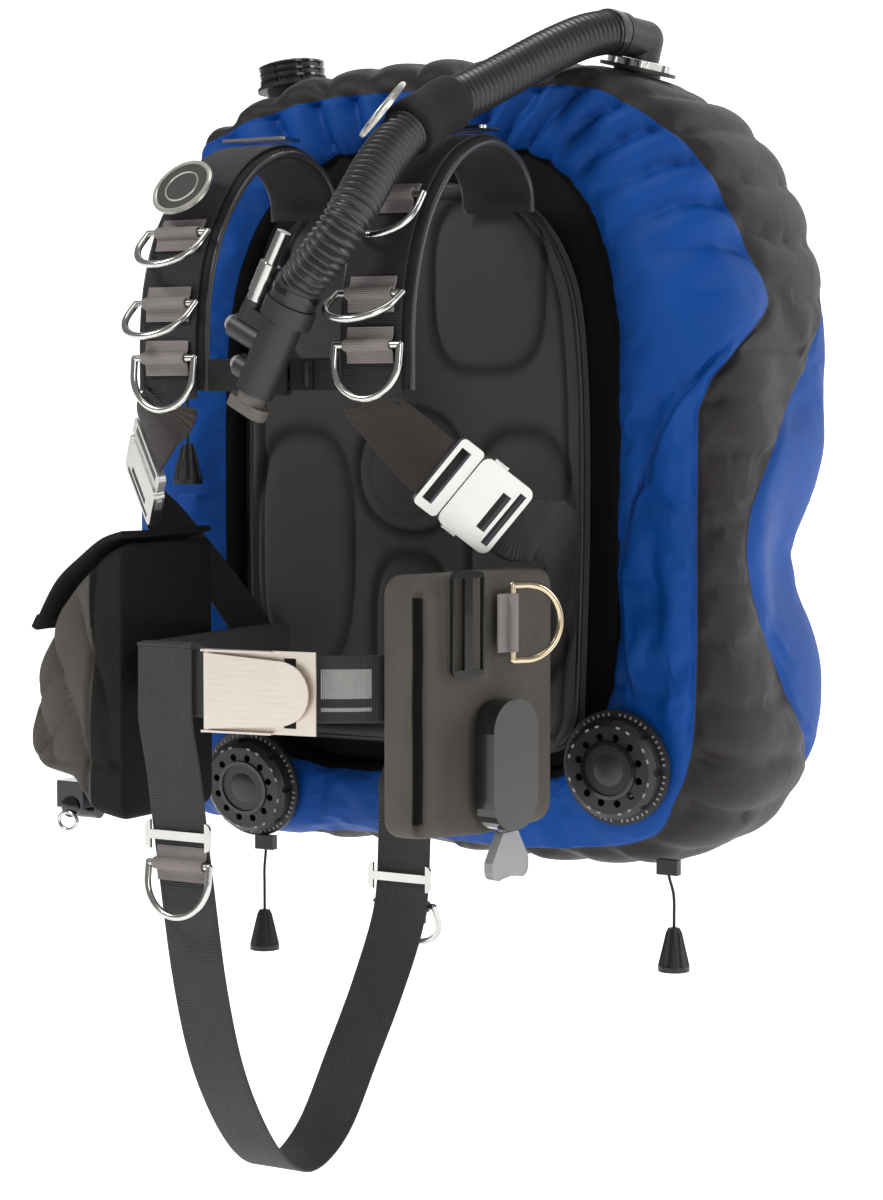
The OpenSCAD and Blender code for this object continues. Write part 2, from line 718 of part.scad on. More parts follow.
// The lever is a flat plate with a round end and two pivots at its root
module waist_buckle_lever() color("#d8d0cc") at_waist_buckle() {
    h = buckle_h - 5;
    translate([4, -3.2, -buckle_h / 2 + 0.2]) cylinder(r = 1.6, h = buckle_h - 0.4);
    translate([2.6, -4.6, 0]) rotate([90, 0, 0]) linear_extrude(1.6)
        polygon([[0, -h / 2], [56, -h / 2 + 4], each arc([62, 0], 24, -90, 90, 12),
            [56, h / 2 - 4], [0, h / 2]]);
    translate([2.6, -4.8, -h / 2]) cube([3, 2, h]);
}

// ---- hip pockets ----------------------------------------------------------------------------

pocket_left_front = [[-131, -68], [-150, -74], [-188, -106], [-210, -141], [-229, -196],
    [-231, -246], [-220, -258], [-186, -264], [-168, -290], [-131, -296]];
pocket_left_y = [-242, -112];

module pocket_left() color("#343432") translate([0, pocket_left_y[1], 0])
    upright(pocket_left_y[1] - pocket_left_y[0]) polygon(pocket_left_front);

module pocket_flap() color("#252524") translate([0, pocket_left_y[1] - 7, 0])
    upright(pocket_left_y[1] - pocket_left_y[0] - 4)
        polygon([[-130, -66], [-150, -72], [-190, -104], [-216, -142], [-221, -139],
            [-194, -99], [-153, -67], [-131, -61]]);

pocket_right_plan = [[134, -91], [131, -150], [117, -232], [109, -250], [114, -256], [136, -255],
    [168, -200], [176, -150], [175, -98], [168, -91]];
pocket_top = -86;
pocket_bottom = -286;

module pocket_right() color("#3a3734") translate([0, 0, pocket_bottom])
    linear_extrude(pocket_top - pocket_bottom) polygon(pocket_right_plan);

// The right pocket's pinch clip, with a tongue that slides out of it
module at_clip() translate([180.3, -186, -230]) rotate([0, 0, 81]) children();

module pocket_clips() color("#1e1e20") {
    at_clip() difference() {
        translate([0, 9, 0]) upright(18) polygon(rounded([0, 0], 54, 98, 24));
        translate([-9, -2.6, -60]) cube([18, 5.2, 60]);
    }
    // triglide on the right pocket, and the roll buckle under the left one
    translate([163.2, -215.4, -124]) rotate([0, 0, 62.4]) rotate([0, 90, 0]) slide(78, 28, 4);
    translate([-200, -200, -279]) {
        translate([0, 0, 3.8]) cube([26, 44, 21.6], center = true);
        translate([0, 0, -10]) rotate([0, 90, 0]) cylinder(d = 15, h = 26, center = true);
    }
}

// The clip's tongue, with a heart-shaped grip below it, and a small cord lock beside it
module pocket_pulls() color("#9fa1a2") at_clip() {
    translate([-8, -1.8, -60]) cube([16, 3.6, 56]);
    translate([0, 4, -54]) upright(8) polygon([[-9, 3.5], [-22, -18],
        each arc([-14, -24], 8, 190, 300, 5), [0, -30], each arc([14, -24], 8, 240, 350, 5),
        [22, -18], [9, 3.5]]);
}

// ---- crotch strap ---------------------------------------------------------------------------

crotch_route = smooth([[-57, -288.7, -144.8], [-57, -288.7, -172], [-57, -288.7, -202],
    [-56.5, -280, -240], [-54, -270, -312], [-48, -258, -410], [-43, -238, -484],
    [-39, -198, -548], [-36, -156, -572], [-31, -112, -552], [-23, -78, -496], [-12, -54, -440],
    [0, -40, -380], [2, -36, -320], [1, -34, -290], [0, -32.6, -276], [0, -22, -262],
    [0, -8, -253], [0, -1.7, -244], [0, -1.6, -226], [0, -1.6, -203]], 3);

module crotch_strap() color("#2b2b2d") {
    ribbon(crotch_route, [for (p = crotch_route) [1, 0, 0]], webbing_w, webbing_t);
    // the strap's front end folds over the belt
    translate([-57 - webbing_w / 2, -289.9, -144.7]) cube([webbing_w, 22, webbing_t]);
}

module webbing_slides() color("#bdbdb8") {
    translate([-54.8, -277, -290]) slide(60, 22, 2.4);
    translate([1, -41.9, -352]) slide(60, 22, 2.4);
    for (side = [-1, 1]) translate([strap_mid(side), -98, 250.5]) rotate([-90, 0, 0])
        slide(60, 30, 2.4);
}

// ---- badges ---------------------------------------------------------------------------------

module badge() {
    cylinder(r = 26, h = 1.6);
    difference() {
        cylinder(r = 26, h = 3);
        translate([0, 0, -1]) cylinder(r = 22.5, h = 6);
    }
    cylinder(r = 9, h = 2.6);
}

module badges() color("#d9d7cf") {
    aim([strap_mid(-1) - 1, -206, 205], [-0.05, -1, 0.75]) badge();
    aim([72, -182, 258], [-0.6, -0.5, 0.62]) badge();
}

// ---- nodes ----------------------------------------------------------------------------------

back_plate();
back_pad();
wing_panel();
wing_shell();
wing_bladder();
panel_eyelets();
wing_ports();
valve_springs();
valve_caps();
valve_poppet(0);  // valve_poppet_left
valve_poppet(1);  // valve_poppet_right
valve_poppet(2);  // valve_poppet_top
pull_cord(0);  // pull_cord_left
pull_cord(1);  // pull_cord_right
pull_cord(2);  // pull_cord_top
pull_knob(0);  // pull_knob_left
pull_knob(1);  // pull_knob_right
pull_knob(2);  // pull_knob_top
elbow_ring();
hose_elbow();
inflator_hose();
hose_sleeve();
badges();
inflator_body();
inflate_button();
deflate_button();
mouthpiece();
hose_coupling();
shoulder_pads();
shoulder_webbing();
lower_webbing();
ring_keepers();
strap_ring(-1, 0);  // d_ring_left_1
strap_ring(-1, 1);  // d_ring_left_2
strap_ring(-1, 2);  // d_ring_left_3
strap_ring(1, 0);  // d_ring_right_1
strap_ring(1, 1);  // d_ring_right_2
strap_ring(1, 2);  // d_ring_right_3
sternum_strap();
sternum_buckle();
buckle_frames();
buckle_inserts();
release_tab(-1, -1);  // release_tab_left_in
release_tab(-1, 1);  // release_tab_left_out
release_tab(1, -1);  // release_tab_right_in
release_tab(1, 1);  // release_tab_right_out
waist_belt();
waist_buckle();
waist_buckle_lever();
pocket_left();
pocket_flap();
pocket_right();
pocket_clips();
pocket_pulls();
webbing_slides();
waist_d_ring();
crotch_strap();
crotch_d_ring_front();
crotch_d_ring_rear();
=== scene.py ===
# Buoyancy compensator vest: the looks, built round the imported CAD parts. Units inside are mm,
# turned to metres when a mesh is made.
import math
import bmesh
import bpy
import numpy as np
from mathutils import Matrix, Vector, noise


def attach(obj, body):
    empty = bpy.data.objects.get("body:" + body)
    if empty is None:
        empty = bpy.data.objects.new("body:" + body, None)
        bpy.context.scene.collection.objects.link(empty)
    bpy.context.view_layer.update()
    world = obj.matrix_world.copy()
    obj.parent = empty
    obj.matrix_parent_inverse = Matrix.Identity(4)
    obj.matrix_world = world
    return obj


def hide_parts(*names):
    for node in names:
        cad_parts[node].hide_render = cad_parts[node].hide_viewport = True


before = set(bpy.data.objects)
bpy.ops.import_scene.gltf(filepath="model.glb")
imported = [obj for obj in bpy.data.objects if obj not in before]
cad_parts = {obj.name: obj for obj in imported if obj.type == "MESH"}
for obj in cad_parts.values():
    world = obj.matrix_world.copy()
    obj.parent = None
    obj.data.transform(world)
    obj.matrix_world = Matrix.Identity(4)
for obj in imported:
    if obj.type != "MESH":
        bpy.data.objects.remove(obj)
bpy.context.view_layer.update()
MM = 0.001
HOME = "harness"


# ---- small maths -----------------------------------------
def unit(v):
    v = np.asarray(v, float)
    return v / max(np.linalg.norm(v), 1e-12)


def smooth(points, n):
    """The same Catmull-Rom curve as the CAD uses, with n steps a stretch."""
    p = [np.asarray(q, float) for q in points]
    last, out = len(p) - 1, []
    for i in range(last):
        a, b, c, d = p[max(i - 1, 0)], p[i], p[i + 1], p[min(i + 2, last)]
        for j in range(n):
            t = j / n
            out.append(0.5 * (2 * b + (c - a) * t + (2 * a - 5 * b + 4 * c - d) * t * t
                              + (3 * b - a - 3 * c + d) * t ** 3))
    return np.array(out + [p[last]])


def tangents(p):
    p = np.asarray(p, float)
    t = np.empty_like(p)
    t[1:-1] = p[2:] - p[:-2]
    t[0], t[-1] = p[1] - p[0], p[-1] - p[-2]
    return t / np.linalg.norm(t, axis=1)[:, None]


def resample(p, step):
    p = np.asarray(p, float)
    d = np.r_[0, np.cumsum(np.linalg.norm(np.diff(p, axis=0), axis=1))]
    n = max(2, int(round(d[-1] / step)) + 1)
    s = np.linspace(0, d[-1], n)
    return np.stack([np.interp(s, d, p[:, k]) for k in range(p.shape[1])], 1)


def beside(p, d):
    t = tangents(p)
    return np.asarray(p) + d * np.stack([-t[:, 1], t[:, 0]], 1)


def step01(x, a, b):
    t = np.clip((np.asarray(x, float) - a) / (b - a), 0, 1)
    return t * t * (3 - 2 * t)


def bump(x, c, w):
    return np.exp(-((np.asarray(x, float) - c) / w) ** 2)


def wobble(p, scale, seed):
    """Smooth noise from -1 to 1 at the points p, in mm."""
    q = np.asarray(p, float) / scale + seed * 17.3
    return np.array([noise.noise(Vector(v)) for v in q])


# ---- materials -------------------------------------------
def rgb(r, g, b):
    f = lambda c: c / 12.92 if c <= 0.04045 else ((c + 0.055) / 1.055) ** 2.4
    return (f(r / 255), f(g / 255), f(b / 255), 1)


def material(name, color, rough=0.5, metal=0.0, sheen=0.0, coat=0.0, transmission=0.0, spec=0.5):
    m = bpy.data.materials.new(name)
    m.use_nodes = True
    b = m.node_tree.nodes["Principled BSDF"]
    b.inputs["Base Color"].default_value = color
    b.inputs["Roughness"].default_value = rough
    b.inputs["Metallic"].default_value = metal
    b.inputs["Specular IOR Level"].default_value = spec
    b.inputs["Sheen Weight"].default_value = sheen
    b.inputs["Sheen Roughness"].default_value = 0.5
    b.inputs["Coat Weight"].default_value = coat
    b.inputs["Transmission Weight"].default_value = transmission
    return m


def add(m, kind, **sockets):
    n = m.node_tree.nodes.new(kind)
    for k, v in sockets.items():
        n.inputs[k.replace("_", " ")].default_value = v
    return n


def coords(m, which="Object"):
    return m.node_tree.nodes.new("ShaderNodeTexCoord").outputs[which]


def bump_from(m, socket, strength, distance, normal=None):
    n = add(m, "ShaderNodeBump", Strength=strength, Distance=distance)
    m.node_tree.links.new(socket, n.inputs["Height"])
    if normal is not None:
        m.node_tree.links.new(normal, n.inputs["Normal"])
    m.node_tree.links.new(n.outputs["Normal"], m.node_tree.nodes["Principled BSDF"].inputs["Normal"])
    return n.outputs["Normal"]


def tint_from(m, socket, dark, light):
    mix = m.node_tree.nodes.new("ShaderNodeMix")
    mix.data_type = "RGBA"
    mix.inputs["A"].default_value = dark
    mix.inputs["B"].default_value = light
    m.node_tree.links.new(socket, mix.inputs["Factor"])
    m.node_tree.links.new(mix.outputs["Result"],
                          m.node_tree.nodes["Principled BSDF"].inputs["Base Color"])


def shade(c, f):
    return (c[0] * f, c[1] * f, c[2] * f, 1)


def nylon(name, color, rough=0.62, sheen=0.25, wrinkle=0.25, weave=0.22):
    """Woven nylon: a fine cross weave, small creases and a slightly uneven colour."""
    m = material(name, color, rough, sheen=sheen, spec=0.2)
    ln = m.node_tree.links.new
    co = coords(m)
    patch = add(m, "ShaderNodeTexNoise", Scale=14.0, Detail=4.0)
    ln(co, patch.inputs["Vector"])
    tint_from(m, patch.outputs["Fac"], shade(color, 0.80), shade(color, 1.22))
    a = add(m, "ShaderNodeTexWave", Scale=420.0)
    a.bands_direction = "DIAGONAL"
    b = add(m, "ShaderNodeTexWave", Scale=420.0)
    b.bands_direction = "Z"
    mix = m.node_tree.nodes.new("ShaderNodeMath")
    mix.operation = "MAXIMUM"
    for w, i in ((a, 0), (b, 1)):
        ln(co, w.inputs["Vector"])
        ln(w.outputs["Fac"], mix.inputs[i])
    n1 = bump_from(m, mix.outputs["Value"], weave, 0.0005)
    cr = add(m, "ShaderNodeTexNoise", Scale=55.0, Detail=6.0)
    ln(co, cr.inputs["Vector"])
    bump_from(m, cr.outputs["Fac"], wrinkle, 0.004, n1)
    return m


def webbing_material(name, color, rib=1.6, rough=0.6):
    """Ribbed webbing. The mesh's UV holds mm: U across and V along."""
    m = material(name, color, rough, sheen=0.05, spec=0.35)
    ln = m.node_tree.links.new
    uv = coords(m, "UV")
    split = m.node_tree.nodes.new("ShaderNodeSeparateXYZ")
    ln(uv, split.inputs[0])

    def wave(socket, period, phase=0.0):
        k = m.node_tree.nodes.new("ShaderNodeMath")
        k.operation = "MULTIPLY_ADD"
        k.inputs[1].default_value = 2 * math.pi / period
        k.inputs[2].default_value = phase
        ln(socket, k.inputs[0])
        s = m.node_tree.nodes.new("ShaderNodeMath")
        s.operation = "SINE"
        ln(k.outputs[0], s.inputs[0])
        return s.outputs[0]

    ribs, rows = wave(split.outputs["Y"], rib), wave(split.outputs["X"], 8.3)
    both = m.node_tree.nodes.new("ShaderNodeMath")
    both.operation = "MULTIPLY_ADD"
    both.inputs[1].default_value = 0.45
    ln(rows, both.inputs[0])
    ln(ribs, both.inputs[2])
    n1 = bump_from(m, both.outputs[0], 0.5, 0.0007)
    grain = add(m, "ShaderNodeTexNoise", Scale=900.0, Detail=2.0)
    ln(coords(m), grain.inputs["Vector"])
    bump_from(m, grain.outputs["Fac"], 0.25, 0.0006, n1)
    patch = add(m, "ShaderNodeTexNoise", Scale=30.0, Detail=5.0)
    ln(coords(m), patch.inputs["Vector"])
    tint_from(m, patch.outputs["Fac"], shade(color, 0.75), shade(color, 1.3))
    return m


def metal(name, color, rough, brushed=0.0):
    m = material(name, color, rough, metal=1.0)
    n = add(m, "ShaderNodeTexNoise", Scale=45.0, Detail=5.0)
    m.node_tree.links.new(coords(m), n.inputs["Vector"])
    r = m.node_tree.nodes.new("ShaderNodeMapRange")
    r.inputs["To Min"].default_value = max(0.03, rough - 0.08)
    r.inputs["To Max"].default_value = rough + 0.12
    m.node_tree.links.new(n.outputs["Fac"], r.inputs["Value"])
    m.node_tree.links.new(r.outputs["Result"],
                          m.node_tree.nodes["Principled BSDF"].inputs["Roughness"])
    if brushed:
        w = add(m, "ShaderNodeTexNoise", Scale=400.0, Detail=3.0)
        s = m.node_tree.nodes.new("ShaderNodeMapping")
        s.inputs["Scale"].default_value = (0.05, 1.0, 1.0)
        m.node_tree.links.new(coords(m), s.inputs["Vector"])
        m.node_tree.links.new(s.outputs[0], w.inputs["Vector"])
        bump_from(m, w.outputs["Fac"], brushed, 0.0004)
    return m


def plastic(name, color, rough=0.45, grain=0.12, coat=0.0, transmission=0.0):
    m = material(name, color, rough, coat=coat, transmission=transmission)
    n = add(m, "ShaderNodeTexNoise", Scale=700.0, Detail=3.0)
    m.node_tree.links.new(coords(m), n.inputs["Vector"])
    bump_from(m, n.outputs["Fac"], grain, 0.0005)
    return m


BLUE = nylon("blue_nylon", rgb(0, 66, 142), 0.55, 0.0, 0.2)
BLACK = nylon("black_gusset", rgb(42, 39, 37), 0.5, 0.0, 0.3)
# black fabric of the inner wall, made far darker than the gusset's black: painted shade of the deep gap
# between pad and wing
INNER = nylon("black_inner_painted_shade", rgb(9, 9, 10), 0.8, 0.0, 0.3)
PAD = nylon("pad_fabric", rgb(56, 53, 52), 0.7, 0.12, 0.12, 0.35)


def darken_by_attribute(m, name):
    """Multiplies the material's colour by the mesh's attribute of that name."""
    bsdf = m.node_tree.nodes["Principled BSDF"]
    colour = bsdf.inputs["Base Color"].links[0].from_socket
    attr = m.node_tree.nodes.new("ShaderNodeAttribute")
    attr.attribute_name = name
    mix = m.node_tree.nodes.new("ShaderNodeVectorMath")
    mix.operation = "SCALE"
    m.node_tree.links.new(colour, mix.inputs[0])
    m.node_tree.links.new(attr.outputs["Fac"], mix.inputs["Scale"])
    m.node_tree.links.new(mix.outputs[0], bsdf.inputs["Base Color"])


# painted shade: this point attribute darkens the pad's colour in its grooves
darken_by_attribute(PAD, "painted_groove_shade")
STRAP_PAD = nylon("strap_pad_fabric", rgb(30, 29, 29), 0.7, 0.05, 0.15, 0.35)
POCKET = nylon("pocket_fabric", rgb(80, 76, 70), 0.7, 0.05, 0.3, 0.4)
POCKET_DARK = nylon("pocket_fabric_dark", rgb(26, 25, 25), 0.75, 0.0, 0.3, 0.4)
PIPING = material("piping", rgb(58, 58, 60), 0.35, spec=0.6)
DARK_PIPING = material("dark_piping", rgb(24, 24, 25), 0.45)
WEB = webbing_material("webbing_black", rgb(30, 29, 30))
WEB_CROTCH = webbing_material("webbing_crotch", rgb(48, 48, 49))
WEB_BROWN = webbing_material("webbing_brown", rgb(40, 34, 31))
WEB_BELT = webbing_material("webbing_belt", rgb(46, 44, 43))
KEEPER = webbing_material("keeper_webbing", rgb(132, 124, 122), 1.4)
STEEL = metal("polished_steel", rgb(205, 204, 200), 0.16)
BRASSY = metal("warm_steel", rgb(206, 190, 160), 0.2)
ALU = metal("satin_aluminium", rgb(208, 207, 203), 0.34, 0.25)
CHAMPAGNE = metal("champagne_steel", rgb(240, 229, 218), 0.42, 0.2)
BADGE = metal("badge_metal", rgb(218, 216, 206), 0.3, 0.15)
BADGE_DARK = material("badge_recess", rgb(52, 51, 49), 0.6)
RUBBER = plastic("hose_rubber", rgb(46, 46, 47), 0.34, 0.1)
HARD = plastic("black_plastic", rgb(30, 30, 31), 0.42, 0.1)
HARD_GREY = plastic("grey_plastic", rgb(40, 40, 42), 0.42, 0.15)
GLOSS = plastic("gloss_black", rgb(20, 20, 21), 0.16, 0.0, 0.3)
BUTTON = plastic("pale_button", rgb(150, 146, 150), 0.45)
TICK = material("pale_tick", rgb(150, 152, 150), 0.6)
BELT_PRINT = webbing_material("belt_print", rgb(150, 148, 146))
CLEAR = plastic("clear_grey", rgb(150, 152, 154), 0.22, 0.05, 0.4, 0.35)
MOUTH = plastic("mouthpiece_grey", rgb(96, 92, 86), 0.5)
CORD = material("cord_black", rgb(22, 22, 23), 0.7)


# ---- meshes ----------------------------------------------
def mesh(name, verts, faces, mats, face_mats=None, flat=False, uvs=None, angle=40):
    me = bpy.data.meshes.new(name)
    me.from_pydata([tuple(v) for v in np.asarray(verts, float) * MM], [],
                   [tuple(map(int, f)) for f in faces])
    me.validate()
    bm = bmesh.new()
    bm.from_mesh(me)
    bmesh.ops.recalc_face_normals(bm, faces=bm.faces)
    bm.to_mesh(me)
    bm.free()
    for mt in (mats if isinstance(mats, (list, tuple)) else [mats]):
        me.materials.append(mt)
    if face_mats is not None:
        me.polygons.foreach_set("material_index", np.asarray(face_mats, np.int32))
    if uvs is not None:
        layer = me.uv_layers.new(name="UVMap")
        idx = np.zeros(len(me.loops), np.int32)
        me.loops.foreach_get("vertex_index", idx)
        layer.data.foreach_set("uv", np.asarray(uvs, np.float32)[idx].ravel())
    me.polygons.foreach_set("use_smooth", np.full(len(me.polygons), not flat))
    me.update()
    o = bpy.data.objects.new(name, me)
    bpy.context.scene.collection.objects.link(o)
    if not flat and angle:
        me.set_sharp_from_angle(angle=math.radians(angle))
    return o


def grid_faces(n, k, closed_n=False, closed_k=True):
    i = np.arange(n if closed_n else n - 1)[:, None]
    j = np.arange(k if closed_k else k - 1)[None, :]
    a = i * k + j
    b = i * k + (j + 1) % k
    c = ((i + 1) % n) * k + (j + 1) % k
    d = ((i + 1) % n) * k + j
    return np.stack([a, b, c, d], -1).reshape(-1, 4)


def loft(name, rings, mats, closed=False, caps=True, uvs=None, angle=40):
    rings = np.asarray(rings, float)
    n, k = rings.shape[:2]
    faces = [list(f) for f in grid_faces(n, k, closed)]
    if caps and not closed:
        faces += [list(range(k))[::-1], [(n - 1) * k + j for j in range(k)]]
    return mesh(name, rings.reshape(-1, 3), faces, mats, uvs=uvs, angle=angle)


def frames(path, wide=None):
    """(across, up) at each point; across follows wide, or turns as little as it can."""
    t = tangents(path)
    if wide is not None:
        w = np.asarray(wide, float)
        if w.ndim == 1:
            w = np.repeat(w[None], len(path), 0)
        ac = w - (w * t).sum(1)[:, None] * t
        ac /= np.linalg.norm(ac, axis=1)[:, None]
    else:
        ac = np.zeros_like(t)
        v = np.cross(t[0], [0, 0, 1.0]) if abs(t[0][2]) < 0.9 else np.cross(t[0], [1.0, 0, 0])
        for i in range(len(t)):
            v = v - (v @ t[i]) * t[i]
            v = v / np.linalg.norm(v)
            ac[i] = v
    return ac, np.cross(t, ac)


def tube(name, path, r, mat, sides=12, body=HOME, radii=None, ride=True):
    path = np.asarray(path, float)
    ac, up = frames(path)
    a = np.linspace(0, 2 * math.pi, sides, endpoint=False)
    rr = np.full(len(path), r) if radii is None else np.asarray(radii)
    rings = path[:, None] + rr[:, None, None] * (np.cos(a)[None, :, None] * ac[:, None]
                                                 + np.sin(a)[None, :, None] * up[:, None])
    o = loft(name, rings, mat, angle=60)
    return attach(o, body) if ride else o


def strap_profile(w, t, n=16):
    """Cross-section of webbing: flat, with rounded edges. Goes round once."""
    h, r = w / 2, t / 2
    top = [(x, r) for x in np.linspace(h - r, -h + r, n)]
    left = [(-h + r + r * math.cos(a), r * math.sin(a)) for a in np.radians([120, 150, 180, 210, 240])]
    bottom = [(x, -r) for x in np.linspace(-h + r, h - r, n)]
    right = [(h - r + r * math.cos(a), r * math.sin(a)) for a in np.radians([-60, -30, 0, 30, 60])]
    return np.array(top + left + bottom + right)


def ribbon(name, path, wide, w, t, mat, body=HOME, step=3.0, buckle=0.0, seed=1):
    """Webbing along the path, with UVs in mm, and an optional slight wave across its face."""
    path = np.asarray(path, float)
    wide = np.asarray(wide, float)
    if wide.ndim == 1:
        wide = np.repeat(wide[None], len(path), 0)
    both = resample(np.hstack([path, wide * 0.001]), step)
    path, wide = both[:, :3], both[:, 3:] * 1000
    ac, up = frames(path, wide)
    prof = strap_profile(w, t)
    s = np.r_[0, np.cumsum(np.linalg.norm(np.diff(path, axis=0), axis=1))]
    rings = path[:, None] + prof[None, :, :1] * ac[:, None] + prof[None, :, 1:] * up[:, None]
    if buckle:
        lift = np.array([[noise.noise(Vector((si / 45, x / 60, seed * 5.1))) for x in prof[:, 0]]
                         for si in s])
        rings += (lift * buckle)[..., None] * up[:, None]
    uv = np.stack([np.repeat(prof[None, :, 0], len(s), 0), np.repeat(s[:, None], len(prof), 1)], -1)
    o = loft(name, rings, mat, uvs=uv.reshape(-1, 2), angle=50)
    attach(o, body)
    return o


def lathe(name, profile, place, mat, n=64, body=HOME, angle=35, closed=False):
    """(r, z) profile turned about local Z; place is a 4x4 in mm."""
    a = np.linspace(0, 2 * math.pi, n, endpoint=False)
    p = np.asarray(profile, float)
    ring = np.stack([p[None, :, 0] * np.cos(a)[:, None], p[None, :, 0] * np.sin(a)[:, None],
                     np.repeat(p[None, :, 1], n, 0)], -1)
    v = ring.reshape(-1, 3) @ np.array(place)[:3, :3].T + np.array(place)[:3, 3]
    o = mesh(name, v, grid_faces(n, len(p), True, closed), mat, angle=angle)
    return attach(o, body)


def aim(p, d):
    """The CAD's turn of +Z to the direction d, at the point p."""
    d = unit(d)
    tilt, az = math.acos(d[2]), math.atan2(d[1], d[0])
    m = Matrix.Translation(Vector(p)) @ Matrix.Rotation(az, 4, "Z") @ Matrix.Rotation(tilt, 4, "Y")
    return np.array(m)


def put(place, pts):
    place = np.array(place)
    return np.asarray(pts, float) @ place[:3, :3].T + place[:3, 3]


def bake(o):
    dg = bpy.context.evaluated_depsgraph_get()
    dg.update()
    new = bpy.data.meshes.new_from_object(o.evaluated_get(dg), depsgraph=dg)
    old = o.data
    o.modifiers.clear()
    o.data = new
    new.name = old.name
    bpy.data.meshes.remove(old)


def recolour(node, mat):
    """A CAD node that stays, with a better material."""
    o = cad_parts[node]
    o.data.materials.clear()
    o.data.materials.append(mat)
    return o


# ---- wing ------------------------------------------------
HALF_W, TOP, BOTTOM, HOLE_W, HOLE_TOP, HOLE_BOTTOM = 298, 322, -334, 168, 236, -254
SLACK = 4.0  # the cover starts this much inside its full shape, and swells


def loop_point(a, half_w, top, bottom):
    e = np.where(np.sin(a) > 0, 2 / 3.2, 2 / 6.5)
    c, s = np.cos(a), np.sin(a)
    return np.stack([half_w * np.sign(c) * np.abs(c) ** e,
                     (top + bottom) / 2 + (top - bottom) / 2 * np.sign(s) * np.abs(s) ** e], -1)


def wing_grid(n, parts):
    """Points of the wing's skin. Columns land on the seams: parts holds how many columns lie on
    the front panel, the gusset, the rear panel and the inner wall. Gives the points, the distance
    round the section from its front outer corner, the polar angle and the outer loop's length."""
    fine = np.linspace(0, 2 * math.pi, 6001)
    mid = (loop_point(fine, HALF_W, TOP, BOTTOM) + loop_point(fine, HOLE_W, HOLE_TOP, HOLE_BOTTOM)) / 2
    run = np.r_[0, np.cumsum(np.linalg.norm(np.diff(mid, axis=0), axis=1))]
    a = np.interp(np.linspace(0, run[-1], n, endpoint=False), run, fine)
    o = loop_point(a, HALF_W, TOP, BOTTOM)
    i = loop_point(a, HOLE_W, HOLE_TOP, HOLE_BOTTOM)
    middle, gap = (o + i) / 2, o - i
    half = np.linalg.norm(gap, axis=1) / 2
    out = gap / (2 * half)[:, None]
    side = np.cos(a) ** 2
    up = np.sin(a) > 0
    front = np.where(up, -12, -30) * (1 - side) - 32 * side
    rear = np.where(up, 168, 156) * (1 - side) + 200 * side
    deep, centre = (rear - front) / 2 - SLACK, (rear + front) / 2
    theta = np.degrees(np.arctan2(o[:, 1], o[:, 0]))
    qf, qr = seam_front(theta), seam_rear(theta)
    # the section starts at its inner front corner and runs over the front to the outside
    fb = np.linspace(0, 2 * math.pi, 4001) + math.radians(225)
    u = np.sign(np.cos(fb)) * np.abs(np.cos(fb)) ** (2 / 3.6)
    v = np.sign(np.sin(fb)) * np.abs(np.sin(fb)) ** (2 / 3.6)
    k = sum(parts)
    P, q = np.zeros((n, k, 3)), np.zeros((n, k))
    for s in range(n):
        r = (half[s] - SLACK) * u - 42 * np.maximum(0, -u) * np.maximum(0, v)
        y = centre[s] + deep[s] * v
        d = np.r_[0, np.cumsum(np.hypot(np.diff(r), np.diff(y)))]
        corner = np.interp(math.radians(315), fb, d)
        rear_corner = np.interp(math.radians(495), fb, d)
        stops = [10, corner + qf[s], corner + qr[s], rear_corner - 6, d[-1] + 10]
        pick = np.concatenate([np.linspace(stops[m], stops[m + 1], parts[m], endpoint=False)
                               for m in range(4)])
        wrap = pick % d[-1]
        rr, yy = np.interp(wrap, d, r), np.interp(wrap, d, y)
        c = middle[s] + out[s] * rr[:, None]
        P[s] = np.stack([c[:, 0], yy, c[:, 1]], -1)
        q[s] = pick - corner
    ol = np.r_[0, np.cumsum(np.linalg.norm(np.diff(np.vstack([o, o[:1]]), axis=0), axis=1))]
    return P, q, theta, ol[:-1], half, qf, qr


def seam_front(theta):
    """Where the front panel ends: mm past the section's front outer corner, at each polar angle."""
    return np.interp(theta, [-180, -135, -90, -52, -47, -32, 7, 12, 16, 20, 22, 23, 28, 34, 45, 52, 61,
                             71, 116, 123, 135, 180],
                     [16, 16, 12, -16, -28, -30, -30, -18, 8, 44, 60, 58, 38, 22, 4, -8, -10, -24, -22,
                      -16, 10, 16])


def seam_rear(theta):
    """Where the rear panel begins, counted in the same way; the left side repeats the right."""
    t = np.where(np.abs(theta) > 90, np.sign(theta) * 180 - theta, theta)
    return np.interp(t, [-90, -60, -45, -40, -34, -27, -21, -15, -9, -4, 2, 8, 13, 18, 24, 60, 90],
                     [150, 165, 175, 150, 96, 62, 34, 20, 26, 42, 72, 105, 132, 152, 186, 190, 165])


